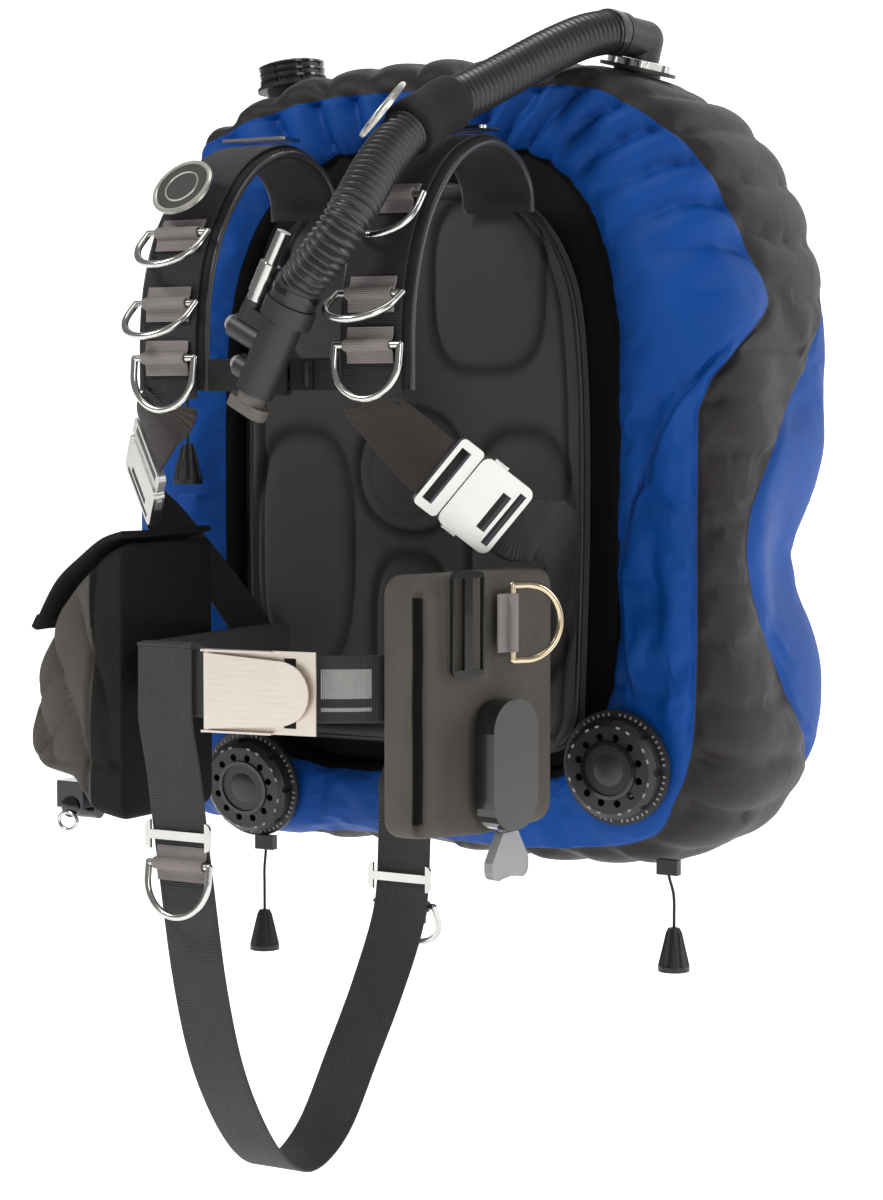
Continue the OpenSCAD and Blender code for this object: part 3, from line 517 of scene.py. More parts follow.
def shape_wing():
    n = 336
    parts = (34, 36, 34, 22)
    k = sum(parts)
    P, q, theta, run, half, front, rear = wing_grid(n, parts)
    du = np.roll(P, -1, 0) - np.roll(P, 1, 0)
    dv = np.roll(P, -1, 1) - np.roll(P, 1, 1)
    N = np.cross(du, dv)
    N /= np.linalg.norm(N, axis=2)[..., None]
    if ((P - P.mean(1, keepdims=True)) * N).sum(2).mean() < 0:
        N = -N
    th, s = np.repeat(theta[:, None], k, 1), np.repeat(run[:, None], k, 1)
    qf, qr = np.repeat(front[:, None], k, 1), np.repeat(rear[:, None], k, 1)
    zone = np.repeat(np.repeat(np.arange(4), parts)[None], n, 0)
    flat = P.reshape(-1, 3)
    w1, w2, w3 = (wobble(flat, sc, i + 1).reshape(n, k) for i, sc in enumerate((70, 28, 150)))
    move = np.zeros((n, k))
    gusset, panel = zone == 1, zone == 0
    # the gusset is gathered: puffs between creases that run back from the front seam
    phase = s / 46.0 + 0.30 * w3 + 0.12 * w1
    creases = np.abs(np.sin(math.pi * phase)) ** 0.42
    fade = step01(q - qf, 0, 12) * (1 - step01(q - qr, -14, 0))
    along = np.clip((q - qf) / np.maximum(qr - qf, 20), 0, 1)
    which = np.floor(phase)
    depth = 13 + 5 * np.sin(which * 2.4) + 3 * np.sin(which * 5.1 + 1)
    move += gusset * fade * (1 - 0.5 * along) * depth * (creases - 0.80)
    # puckers along both seams
    puck = np.sin(2 * math.pi * (s / 14.0 + 0.6 * w1))
    move += (bump(q - qf, 9, 9) + 0.6 * bump(q - qr, -8, 9)) * 0.8 * puck * gusset
    # the front panel: folds that run in from the top seam, quiet elsewhere
    folds = np.abs(np.sin(math.pi * (s / 41.0 + 0.40 * w3 + 0.004 * (q - qf)))) ** 0.6
    reach = step01(q - qf, -112, -14) * (1 - step01(q - qf, -2, 2))
    top = step01(th, 16, 38) * (1 - step01(th, 150, 170))
    move += panel * reach * top * 19 * (folds - 0.88)
    move += panel * (2.2 * w3 + 1.2 * w1)
    # a rounded ridge beside the straight front seam
    low = (th > -46) & (th < 10)
    move += 7.0 * bump(q - qf, -18, 12) * low * panel - 4.0 * bump(q - qf, -42, 12) * low * panel
    # the panel seam that curves in from the pointed corner
    arc_q = np.interp(th, [-50, -34, -22, -8, 4, 10, 14, 18], [-60, -96, -100, -84, -60, -40, -20, 6])
    on = panel * step01(th, -40, -32) * (1 - step01(th, 14, 17))
    move -= 5.0 * bump(q - arc_q, 0, 3.0) * on
    move += 5.0 * step01(q - arc_q, 0, 5) * (1 - step01(q - arc_q, 8, 40)) * on
    # seams draw in
    for edge in (qf, qr):
        move -= 3.2 * bump(q - edge, 0, 3.2)
    move += 0.4 * w2 + 1.0 * w1
    # both sides are drawn in at mid height
    back = step01(P[..., 1], -10, 110) * (zone > 0) * (zone < 3)
    move -= (27 * bump(P[..., 2], -92, 62) + 5 * bump(P[..., 2], 45, 40)) * back * (np.abs(P[..., 0]) > 200)
    Q = P + N * move[..., None]
    # the cover lies still under the valves and the hose port
    hold = np.zeros((n, k))
    for cx, cz in ((-148, -284), (198, -248)):
        d = np.hypot(P[..., 0] - cx, P[..., 2] - cz)
        hold = np.maximum(hold, (1 - step01(d, 46, 66)) * (P[..., 1] < 20))
    for cx, cy, r in ((-184, 88, 34), (150, 92, 34)):
        d = np.hypot(P[..., 0] - cx, P[..., 1] - cy)
        hold = np.maximum(hold, (1 - step01(d, r, r + 18)) * (P[..., 2] > 240))
    Q = Q * (1 - hold[..., None]) + (P + N * SLACK * 0.8) * hold[..., None]
    faces = grid_faces(n, k, True, True)[:, ::-1]
    # the inner wall (zone 3) gets the near-black that carries the gap's painted shade
    o = mesh("wing_cover", Q.reshape(-1, 3), faces, [BLUE, BLACK, BLUE, INNER],
             zone.reshape(-1)[faces[:, 3]], angle=0)
    pins = np.maximum(hold, bump(q - qf, 0, 4) + bump(q - qr, 0, 4) + 0.9 * bump(q - arc_q, 0, 3) * on)
    pins = np.maximum(pins, (zone == 3) * 1.0).clip(0, 1)
    return o, pins.reshape(-1)


def cloth(o, pins, pressure=4.0, cap=12.0, grow=-0.04, frames_=20, quality=5, bending=0.6):
    """Runs the cloth solver on o, keeps each point within cap mm of its start, and applies it."""
    start = np.array([v.co for v in o.data.vertices], float)
    if pins is not None:
        g = o.vertex_groups.new(name="pins")
        w = np.asarray(pins, float)
        for level in np.unique(np.round(w, 1)):
            ids = np.nonzero(np.abs(np.round(w, 1) - level) < 1e-6)[0]
            if level > 0:
                g.add([int(x) for x in ids], float(level), "REPLACE")
    c = o.modifiers.new("cloth", "CLOTH")
    st = c.settings
    st.quality = quality
    st.mass = 0.3
    st.air_damping = 6
    st.tension_stiffness = st.compression_stiffness = 14
    st.shear_stiffness = 6
    st.bending_stiffness = bending
    st.use_pressure = True
    st.uniform_pressure_force = pressure
    st.shrink_min = grow
    st.effector_weights.gravity = 0
    c.collision_settings.use_collision = False
    c.collision_settings.use_self_collision = False
    if pins is not None:
        st.vertex_group_mass = "pins"
    c.point_cache.frame_start, c.point_cache.frame_end = 1, frames_
    scene = bpy.context.scene
    for f in range(1, frames_ + 1):
        scene.frame_set(f)
    dg = bpy.context.evaluated_depsgraph_get()
    ev = o.evaluated_get(dg)
    now = np.array([v.co for v in ev.data.vertices], float)
    o.modifiers.clear()
    d = now - start
    d[~np.isfinite(d).all(1)] = 0
    ln = np.linalg.norm(d, axis=1)
    cap *= MM
    d *= np.where(ln > 1e-9, cap * np.tanh(ln / cap) / np.maximum(ln, 1e-9), 0)[:, None]
    o.data.vertices.foreach_set("co", (start + d).astype(np.float32).ravel())
    o.data.update()
    scene.frame_set(1)


def subdivide(o, levels=1):
    m = o.modifiers.new("sub", "SUBSURF")
    m.levels = m.render_levels = levels
    bake(o)
    o.data.polygons.foreach_set("use_smooth", np.ones(len(o.data.polygons), bool))


wing, wing_pins = shape_wing()
cloth(wing, wing_pins, 3.0, 7.0, -0.025)
subdivide(wing)
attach(wing, HOME)
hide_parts("wing_shell", "wing_bladder")


def inner_web():
    """The black fabric that joins the cover's inner wall to the centre panel, made far darker than the
    gusset's black as painted shade of the gap.
    """
    a = np.linspace(0, 2 * math.pi, 200, endpoint=False)
    rings = []
    for grow, y in ((-6, 1.0), (8, 0.5), (22, 6), (22, 8), (8, 3.2), (-6, 3.0)):
        p = loop_point(a, HOLE_W + grow, HOLE_TOP + grow, HOLE_BOTTOM - grow)
        rings.append(np.stack([p[:, 0], np.full(200, y), p[:, 1]], 1))
    rings = np.array(rings).transpose(1, 0, 2)
    o = loft("wing_inner_web", rings, INNER, closed=True)
    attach(o, HOME)


inner_web()

# ---- back pad --------------------------------------------
PAD_SIDE = smooth([[158, -150], [160, -60], [158, 60], [146, 140], [110, 194], [54, 214], [0, 219]], 12)


def pad_half_width(z):
    base = np.interp(z, PAD_SIDE[:, 1], PAD_SIDE[:, 0])
    low = np.where(z < -210, 122 + np.sqrt(np.maximum(0, 34 ** 2 - (z + 210) ** 2)),
                   np.interp(z, [-210, -150], [156, 158]))
    return np.where(z < -150, low, base)


def groove(x, z, cx, cz, hx, hz, power=2.6):
    """Distance, in mm, inside (+) or outside (-) a rounded shape's edge, roughly."""
    r = (np.abs((x - cx) / hx) ** power + np.abs((z - cz) / hz) ** power) ** (1 / power)
    return (1 - r) * min(hx, hz)


def make_pad():
    nz, nx = 340, 240
    # rows close up at both ends, so that the rounded top is even
    a = np.linspace(-math.pi / 2, math.pi / 2, nz)
    z = -12.5 + 231.4 * np.sin(a)
    z = np.clip(z, -243.9, 218.9)
    hw = pad_half_width(z)
    t = np.sin(np.linspace(-math.pi / 2, math.pi / 2, nx))
    X, Z = hw[:, None] * t[None], np.repeat(z[:, None], nx, 1)
    edge = np.minimum(hw[:, None] * (1 - np.abs(t))[None], np.minimum(219 - Z, Z + 244))
    edge = np.minimum(edge, 60)
    rim = np.sqrt(np.clip(1 - (1 - np.clip(edge / 9, 0, 1)) ** 2, 0, 1))
    y = -12.8 - 10.0 * rim
    # embossed cushions: two upper, one round in the middle, two lower, and a welt round the edge
    shapes = [(72, 134, 50, 68, 3.2), (-72, 134, 50, 68, 3.2), (0, -17, 50, 50, 2.1),
              (104, -84, 47, 96, 2.8), (-104, -84, 47, 96, 2.8), (0, -150, 34, 62, 3.0)]
    lift, painted_groove_shade = np.zeros_like(X), np.ones_like(X)
    for cx, cz, hx, hz, pw in shapes:
        d = groove(X, Z, cx, cz, hx, hz, pw)
        lift += 3.4 * step01(d, 0, 14) - 4.8 * bump(d, -1, 3.6)
        # painted shade: the colour is darkened along each cushion's groove
        painted_groove_shade *= 1 - 0.62 * bump(d, -1.5, 3.8)
    d = groove(X, Z, 0, -17, 36, 36, 2.0)
    lift -= 2.4 * bump(d, 0, 2.4)
    lift -= 3.2 * bump(edge, 15, 2.8)
    # painted shade: the colour is darkened in the groove that runs round the edge
    painted_groove_shade *= 1 - 0.55 * bump(edge, 15, 3.0)
    lift += 1.6 * bump(edge, 9, 4.0)
    y = y - np.maximum(lift, -6.2) * step01(edge, 1, 8)
    y -= 0.5 * wobble(np.stack([X, 0 * X, Z], -1).reshape(-1, 3), 60, 4).reshape(X.shape)
    front = np.stack([X, y, Z], -1)
    back_y = -12.8 + 9.3 * rim
    channel = (np.abs(X) < 29) & (Z < 192)
    back_y = np.where(channel, np.minimum(back_y, -13.5), back_y)
    rear = np.stack([X, back_y, Z], -1)
    n = nz * nx
    f1 = grid_faces(nz, nx, False, False)
    f2 = f1[:, ::-1] + n
    faces = list(map(list, f1)) + list(map(list, f2))
    right = [i * nx + nx - 1 for i in range(nz)]
    left = [i * nx for i in range(nz)]
    for e in (right, left[::-1]):
        faces += [[e[i], e[i + 1], e[i + 1] + n, e[i] + n] for i in range(nz - 1)]
    b, tp = list(range(nx)), [(nz - 1) * nx + j for j in range(nx)]
    for e in (b, tp[::-1]):
        faces += [[e[i], e[i + 1], e[i + 1] + n, e[i] + n] for i in range(nx - 1)]
    verts = np.vstack([front.reshape(-1, 3), rear.reshape(-1, 3)])
    o = mesh("pad_cushion", verts, faces, PAD, angle=60)
    # the painted groove shade goes on the front points; the rear keeps its full colour
    layer = o.data.attributes.new("painted_groove_shade", "FLOAT", "POINT")
    layer.data.foreach_set("value", np.r_[painted_groove_shade.ravel(), np.ones(n)].astype(np.float32))
    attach(o, HOME)
    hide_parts("back_pad")
    corner = [[122 + 34 * math.cos(v), -210 + 34 * math.sin(v)] for v in np.radians(range(-90, 1, 6))]
    side = np.vstack([corner, PAD_SIDE])
    ring = np.vstack([side, side[::-1][1:] * [-1, 1]])
    ring = np.vstack([ring, ring[:1]])
    line = resample(ring, 5)
    path = np.stack([line[:, 0] * 0.985, np.full(len(line), -20.2), line[:, 1] * 0.985], 1)
    tube("pad_piping", path, 2.3, DARK_PIPING, 10)


make_pad()

# ---- wing's centre panel ---------------------------------
# the centre panel takes the same near-black, with the gap's painted shade in it
recolour("wing_panel", INNER)

# ---- CAD nodes that stay ---------------------------------
KEEP = {"back_plate": ALU, "panel_eyelets": STEEL, "wing_ports": HARD, "valve_springs": STEEL,
        "valve_caps": HARD, "elbow_ring": STEEL, "hose_elbow": HARD, "inflator_body": HARD_GREY,
        "inflate_button": BUTTON, "deflate_button": BUTTON, "mouthpiece": MOUTH,
        "hose_coupling": STEEL, "sternum_buckle": HARD, "buckle_frames": ALU,
        "buckle_inserts": ALU, "waist_buckle": CHAMPAGNE, "waist_buckle_lever": CHAMPAGNE,
        "pocket_clips": GLOSS, "webbing_slides": STEEL, "waist_d_ring": BRASSY,
        "crotch_d_ring_front": STEEL, "crotch_d_ring_rear": STEEL, "badges": BADGE,
        "pocket_pulls": CLEAR}
for node, mat in KEEP.items():
    recolour(node, mat)
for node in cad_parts:
    if node.startswith("d_ring_"):
        recolour(node, STEEL)
    if node.startswith("release_tab"):
        recolour(node, ALU)
    if node.startswith("valve_poppet"):
        recolour(node, GLOSS)
    if node.startswith("pull_knob"):
        recolour(node, HARD)

# ---- shoulder straps -------------------------------------
STRAP = smooth([[-34, 190], [-38, 212], [-60, 231], [-98, 239], [-140, 228], [-174, 203],
                [-203, 164], [-219, 112], [-221, 48]], 4)
OUTER = beside(STRAP, -6.5)
MID = {1: 89.0, -1: -95.0}
SIDE = {1: "right", -1: "left"}


def shoulder_pad(side):
    line = resample(STRAP, 4)
    t = tangents(line)
    nrm = np.stack([-t[:, 1], t[:, 0]], 1)
    half = 31.0
    s = np.r_[0, np.cumsum(np.linalg.norm(np.diff(line, axis=0), axis=1))]
    end = np.minimum(s, s[-1] - s)
    close = np.sqrt(np.clip(1 - (1 - np.clip(end / 10, 0, 1)) ** 2, 0.02, 1))
    m = 44
    a = np.linspace(0, 2 * math.pi, m, endpoint=False)
    cx = np.sign(np.cos(a)) * np.abs(np.cos(a)) ** (2 / 7)
    cy = np.sign(np.sin(a)) * np.abs(np.sin(a)) ** (2 / 2.8)
    rings = np.zeros((len(line), m, 3))
    for i in range(len(line)):
        rings[i, :, 0] = MID[side] + half * cx * (0.86 + 0.14 * close[i])
        off = 5.2 * cy * close[i]
        off = off + 0.5 * np.sin(s[i] / 13 + cx * 2) * (np.abs(cy) > 0.5)
        rings[i, :, 1] = line[i, 0] - nrm[i, 0] * off
        rings[i, :, 2] = line[i, 1] - nrm[i, 1] * off
    o = loft(f"shoulder_pad_{SIDE[side]}", rings, STRAP_PAD, angle=60)
    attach(o, HOME)
    for e in (-1, 1):
        edge = np.stack([np.full(len(line), MID[side] + e * 30.5), line[:, 0], line[:, 1]], 1)
        tube(f"strap_piping_{SIDE[side]}_{'in' if e * side < 0 else 'out'}", edge, 2.4, PIPING, 10)
    return o


pads = [shoulder_pad(s) for s in (-1, 1)]
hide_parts("shoulder_pads")

END = {1: np.array([122, -189, -10.0]), -1: np.array([-132, -202, 4.0])}
DIR = {1: unit([52, 68, -62]), -1: unit([-58, 62, -56])}
WIDE = {1: np.array([0.62, 0.32, 0.72]), -1: np.array([0.62, -0.32, -0.72])}


def shoulder_web(side):
    end, d = END[side], DIR[side]
    top = np.array([MID[side], OUTER[-1][0], 47])
    near = end - d * 14
    tail = smooth([top, top + [0, 0.5, -12], (top + near) / 2 + [0, -3, -4], near, end - d], 3)
    p = np.vstack([[[MID[side], y, z] for y, z in OUTER[3:-1]], tail])
    n = len(p)
    f = np.clip((np.arange(n) - (n - 10)) / 8, 0, 1)[:, None]
    wide = np.array([[1, 0, 0]]) * (1 - f) + WIDE[side] * f
    k = n - len(tail) + 2
    ribbon(f"shoulder_webbing_{SIDE[side]}", p[:k + 1], wide[:k + 1], 50, 2.4, WEB)
    return ribbon(f"shoulder_tail_{SIDE[side]}", p[k:], wide[k:], 50, 2.4, WEB_BROWN, step=2)


webs = [shoulder_web(s) for s in (-1, 1)]
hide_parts("shoulder_webbing")

LOWER = {-1: [[-183, -132, -50], [-182, -106, -62], [-172, -80, -90], [-154, -60, -124], [-134, -50, -158]],
         1: [[171, -118, -58], [169, -92, -60], [166, -68, -74], [152, -56, -122], [134, -50, -158]]}


def lower_web(side):
    d = DIR[side]
    end = END[side] + d * 75
    p = np.vstack([[end], smooth([end + 8 * d] + LOWER[side], 3)])
    f = np.clip(np.arange(len(p)) / 6, 0, 1)[:, None]
    wide = WIDE[side] * side * (1 - f) + np.array([side * 0.15, 0.85, 0.45]) * f
    return ribbon(f"lower_webbing_{SIDE[side]}", p, wide, 50, 2.4, WEB)


lows = [lower_web(s) for s in (-1, 1)]
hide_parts("lower_webbing")

# ---- waist belt, crotch strap, sternum strap -------------
BELT_Z = -172.0
BELT = smooth([[119, -26], [131, -62], [127, -150], [112, -232], [90, -262], [50, -280], [2, -287],
               [-46, -281], [-88, -263], [-110, -236], [-122, -150], [-129, -62], [-119, -26]], 6)
belt = ribbon("waist_belt_webbing", np.c_[BELT, np.full(len(BELT), BELT_Z)], [0, 0, 1.0], 50, 2.4, WEB_BELT)
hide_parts("waist_belt")

CROTCH = smooth([[-57, -288.7, -144.8], [-57, -288.7, -172], [-57, -288.7, -202], [-56.5, -280, -240],
                 [-54, -270, -312], [-48, -258, -410], [-43, -238, -484], [-39, -198, -548],
                 [-36, -156, -572], [-31, -112, -552], [-23, -78, -496], [-12, -54, -440], [0, -40, -380],
                 [2, -36, -320], [1, -34, -290], [0, -32.6, -276], [0, -22, -262], [0, -8, -253],
                 [0, -1.7, -244], [0, -1.6, -226], [0, -1.6, -203]], 6)
crotch = ribbon("crotch_webbing", CROTCH, [1.0, 0, 0], 50, 2.4, WEB_CROTCH)
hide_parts("crotch_strap")
ribbon("crotch_fold", [[-57, -290.6, -143.6], [-57, -284, -142.6], [-57, -276, -143], [-57, -268, -146]],
       [1.0, 0, 0], 50, 2.4, WEB_CROTCH)

left_x, right_x = MID[-1] + 31.3, MID[1] - 31.3
sternum = ribbon("sternum_webbing_left", [[left_x, -221, 60], [-40, -221.2, 60], [-22.3, -221, 60]],
                 [0, 0, 1.0], 25, 2, WEB)
ribbon("sternum_webbing_right", [[34.3, -221, 60], [46, -221.2, 60], [right_x, -221, 60]],
       [0, 0, 1.0], 25, 2, WEB)
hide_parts("sternum_strap")

# ---- ring keepers ----------------------------------------
HEIGHTS = {-1: [167, 114, 73], 1: [189, 118, 81]}
BAR_OUT = 7.2  # from the strap's middle line to the ring's bar


def strap_y(z):
    zz, yy = OUTER[16:, 1][::-1], OUTER[16:, 0][::-1]
    return float(np.interp(z, zz, yy))


def keeper(name, place, w=40, depth=5.4):
    """Webbing folded round a bar along local X, with its ends on the strap behind (+Y)."""
    r = 2.75 + 0.35 + 0.8
    a = np.radians(np.linspace(60, 300, 25))
    loop = np.stack([r * np.cos(a), r * np.sin(a)], 1)  # (y, z), open towards +Y
    pts = np.vstack([[[depth - 1.2, 13.5], [depth - 1.6, 8], [2.6, 4.2]], loop,
                     [[2.6, -4.2], [depth - 1.6, -8], [depth - 1.2, -13.5]]])
    path = np.stack([np.zeros(len(pts)), pts[:, 0], pts[:, 1]], 1)
    path = put(place, resample(path, 1.2))
    wide = np.array(place)[:3, :3] @ np.array([1.0, 0, 0])
    return ribbon(name, path, wide, w, 1.5, KEEPER, step=1.2)


def turn(p, axis_deg):
    m = Matrix.Translation(Vector(p))
    for axis, deg in axis_deg:
        m = m @ Matrix.Rotation(math.radians(deg), 4, axis)
    return np.array(m)


first = None
for s in (-1, 1):
    for k in range(3):
        z = HEIGHTS[s][k]
        lean = math.degrees(math.atan((strap_y(z + 4) - strap_y(z - 4)) / 8))
        tilt = math.radians(lean)
        bar = [MID[s], strap_y(z) - BAR_OUT * math.cos(tilt), z + BAR_OUT * math.sin(tilt)]
        o = keeper(f"keeper_{SIDE[s]}_{k + 1}", turn(bar, [("X", -lean)]))
        first = first or o
keeper("keeper_waist", turn([179.6, -176, -125], [("Z", 90), ("Y", 90)]), 44, 6.0)
keeper("keeper_crotch_front", turn([-54, -277, -312], []), 46, 5.6)
keeper("keeper_crotch_rear", turn([0, -32, -376], [("Z", 180)]), 46, 5.6)
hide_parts("ring_keepers")

# ---- inflator hose ---------------------------------------
ROUTE = [[148.5, 54.8, 338.2], [146.7, 46, 338.7], [139, 14, 331], [129, -24, 316], [118, -62, 298],
         [107, -100, 280], [97, -140, 263], [90, -178, 243], [89, -216, 216], [88, -249, 183],
         [80, -260, 162], [63, -262, 141], [46, -259.4, 125.5], [39, -259, 112.4]]
HOSE = np.vstack([ROUTE[:1], smooth(ROUTE[1:-1], 8), ROUTE[-1:]])


def corrugated():
    line = resample(HOSE, 0.7)
    s = np.arange(len(line)) * 0.7
    total = s[-1]
    wave = 0.5 + 0.5 * np.cos(2 * math.pi * s / 5.6)
    r = 15.2 + 2.8 * wave ** 0.8
    cuff = (s < 14) | (s > total - 16)
    r = np.where(cuff, 17.8, r)
    o = tube("corrugated_hose", line, 18, RUBBER, 40, radii=r, ride=False)
    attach(o, HOME)
    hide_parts("inflator_hose")
    # cable ties at both cuffs
    t = tangents(line)
    for name, i in (("tie_top", 12), ("tie_low", len(line) - 14)):
        tube(name, line[i - 3:i + 4], 18.6, GLOSS, 40)


corrugated()
path = smooth(ROUTE[1:-1], 3)
sleeve_line = smooth([path[i] for i in range(14, 19)], 6)
rad = 21.0 + 0.5 * np.sin(np.linspace(0, 9, len(sleeve_line)))
rad[0] = rad[-1] = 19.2
sleeve = tube("hose_sleeve_fabric", sleeve_line, 21, STRAP_PAD, 40, radii=rad)
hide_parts("hose_sleeve")

# ---- pull cords ------------------------------------------
CORDS = {"left": [[-135, -36, -331], [-135.1, -36.1, -341], [-136, -37, -356], [-136, -37, -368],
                  [-136, -37, -380], [-136, -37, -392]],
         "right": [[243, -36, -321], [243.2, -35.8, -331], [246, -34, -343], [247, -34, -352],
                   [247, -34, -362], [247, -34, -372]],
         "top": [[-208, -34, 240], [-211, -44, 210], [-210, -47, 170], [-208, -47, 130], [-206, -47, 90],
                 [-206, -47, 50], [-206, -47, 4]]}
for name, pts in CORDS.items():
    line = resample(smooth(pts, 3), 1.6)
    n = len(line)
    o = tube(f"cord_{name}", line, 1.2, CORD, 10, body=f"pull_{name}")
    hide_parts(f"pull_cord_{name}")

# ---- pockets ---------------------------------------------
def closed_loft(name, outline, lo, hi, mat, plane, step=7.0, round_to=10.0):
    ring = resample(np.vstack([outline, outline[:1]]), step)[:-1]
    c = ring.mean(0)
    size = np.abs(ring - c).max()
    depth = hi - lo
    levels = [(lo, f) for f in (0.04, 0.2, 0.4, 0.6, 0.8)]
    for f in np.linspace(0.0, 1, 5):
        levels.append((lo + round_to * (1 - math.cos(f * math.pi / 2)),
                       1 - (1 - math.sin(f * math.pi / 2)) * round_to / size))
    m = max(5, int((depth - 2 * round_to) / step))
    levels += [(lo + round_to + (depth - 2 * round_to) * f, 1.0) for f in np.linspace(0, 1, m + 1)[1:]]
    levels += [(lo + hi - a, b) for a, b in levels[:10][::-1]]
    rings = []
    for y, f in levels:
        p = c + (ring - c) * f
        rings.append(np.stack([p[:, 0], np.full(len(p), y), p[:, 1]] if plane == "xz"
                              else [p[:, 0], p[:, 1], np.full(len(p), y)], 1))
    rings = np.array(rings)
    n, k = rings.shape[:2]
    faces = [list(f) for f in grid_faces(n, k)]
    faces += [list(range(k))[::-1], [(n - 1) * k + j for j in range(k)]]
    o = mesh(name, rings.reshape(-1, 3), faces, mat, angle=0)
    return o


LEFT_FRONT = np.array([[-133, -70], [-150, -78], [-185, -109], [-205, -143], [-223, -196], [-225, -244],
                       [-215, -253], [-184, -259], [-166, -285], [-133, -291]], float)
pocket_l = closed_loft("cargo_pocket", LEFT_FRONT, -240, -115, POCKET, "xz")
co = np.array([v.co for v in pocket_l.data.vertices]) / MM
pins = (step01(co[:, 0], -146, -136) + (co[:, 1] > -117) * 0.6).clip(0, 1)
cloth(pocket_l, pins, 4.0, 9.0, -0.07)
subdivide(pocket_l, 2)


def press(o, fn):
    """Moves each point of o along its normal by fn(points, normals), in mm."""
    n = len(o.data.vertices)
    co, no = np.zeros(n * 3), np.zeros(n * 3)
    o.data.vertices.foreach_get("co", co)
    o.data.vertex_normals.foreach_get("vector", no)
    co, no = co.reshape(-1, 3), no.reshape(-1, 3)
    co = co + no * (fn(co / MM, no) * MM)[:, None]
    o.data.vertices.foreach_set("co", co.astype(np.float32).ravel())
    o.data.update()


def ridge(v, seed, p, period, sharp=0.55):
    """Rounded ridges with sharp valleys, period mm apart, that wander a little."""
    return np.abs(np.sin(math.pi * (v / period + 0.35 * wobble(p, 90, seed)))) ** sharp - 0.8


def left_folds(p, no):
    """Folds that hang from the top, gathers towards the outer side, and the panel's seam."""
    x, y, z = p.T
    face = step01(-no[:, 1], 0.3, 0.8) + 0.6 * step01(-no[:, 0], 0.5, 0.9)
    keep = face * step01(-x, 140, 156) * (1 - step01(-z, 236, 262))
    drape = 7.5 * ridge(x * 0.95 + z * 0.30, 3, p, 34) * step01(-z, 92, 130)
    gather = 5.5 * ridge(z * 0.75 - x * 0.65, 5, p, 41) * step01(-x, 165, 205)
    seam = -4.0 * bump(x, -166 + 0.06 * (z + 180), 2.6) - 2.5 * bump(z, -246, 3)
    return np.clip(keep * (drape + gather) + step01(-no[:, 1], 0.3, 0.8) * seam, -8, 3)


press(pocket_l, left_folds)
pocket_l.data.materials.append(POCKET_DARK)
for f in pocket_l.data.polygons:
    f.material_index = int(f.center.x > -0.1655)
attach(pocket_l, HOME)
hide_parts("pocket_left")

# the flap: a heavy sheet over the pocket's top, curling up at its free edge
FLAP_Y = -182.0  # middle of the flap, front to rear
FLAP = smooth([[-131, -63.5], [-151, -69.5], [-172, -84], [-192, -101.5], [-206, -120],
               [-218.5, -140.5]], 6)
flap = ribbon("pocket_flap_sheet", np.c_[FLAP[:, 0], np.full(len(FLAP), FLAP_Y), FLAP[:, 1]],
              [0, 1.0, 0], 122, 4.5, POCKET_DARK, step=4, buckle=2.2, seed=7)
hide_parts("pocket_flap")
ribbon("pocket_flap_hem", np.c_[FLAP[-4:, 0] - 0.4, np.full(4, FLAP_Y), FLAP[-4:, 1] + 0.3],
       [0, 1.0, 0], 122.6, 6.0, POCKET_DARK, step=4, buckle=2.2, seed=7)

RIGHT_PLAN = np.array([[136, -93], [133, -150], [119, -231], [111, -249], [115, -253], [135, -252],
                       [165, -199], [173, -150], [172, -99], [167, -94]], float)
pocket_r = closed_loft("hip_pocket", RIGHT_PLAN, -283, -88, POCKET, "xy", 4.5, 14.0)
co = np.array([v.co for v in pocket_r.data.vertices]) / MM
pins = (bump(co[:, 2], -88, 5) * 0.5 + (co[:, 1] > -100) * 0.8).clip(0, 1)
cloth(pocket_r, pins, 2.5, 3.0, -0.03)
subdivide(pocket_r, 2)


C30, S30 = 0.866, 0.5  # the pocket's front faces 30 degrees to the right


def right_shape(p, no):
    """A welt at the front edge, a groove beside it, and soft folds over the rest."""
    x, y, z = p.T
    across = x * C30 + y * S30
    front = step01(-no[:, 1] * C30 + no[:, 0] * S30, 0.35, 0.75)
    front = front * step01(-z, 92, 108) * (1 - step01(-z, 268, 282))
    soft = 1.6 * wobble(p, 46, 6) + 1.0 * ridge(x * 0.8 + z * 0.12, 8, p, 52)
    edge = 3.0 * bump(across, -14, 8) - 9.0 * bump(across, -3, 3.6) + 2.5 * bump(across, 8, 8)
    return front * (soft + edge)


press(pocket_r, right_shape)
pocket_r.data.materials.append(POCKET_DARK)
for f in pocket_r.data.polygons:
    across = f.center.x * C30 + f.center.y * S30
    in_groove = -0.0068 < across < 0.0002 and -0.272 < f.center.z < -0.104
    f.material_index = int(in_groove and f.normal.y < 0)
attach(pocket_r, HOME)
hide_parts("pocket_right")

# ---- small details ---------------------------------------
def rim_marks(name, place, r0, r1, z, count, width, mat, skip=0, body=HOME):
    """Plain ticks round a ring, as thin raised pads in one mesh."""
    v, f = [], []
    for i in range(count):
        if skip and i % skip == 0:
            continue
        a = 2 * math.pi * i / count
        c, s = math.cos(a), math.sin(a)
        for h in (z, z + 0.35):
            for r, w in ((r0, -width), (r1, -width), (r1, width), (r0, width)):
                v.append([r * c - w * s, r * s + w * c, h])
        k = len(v) - 8
        f += [[k, k + 3, k + 2, k + 1], [k + 4, k + 5, k + 6, k + 7]]
        f += [[k + j, k + (j + 1) % 4, k + 4 + (j + 1) % 4, k + 4 + j] for j in range(4)]
    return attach(mesh(name, put(place, v), f, mat, flat=True), body)


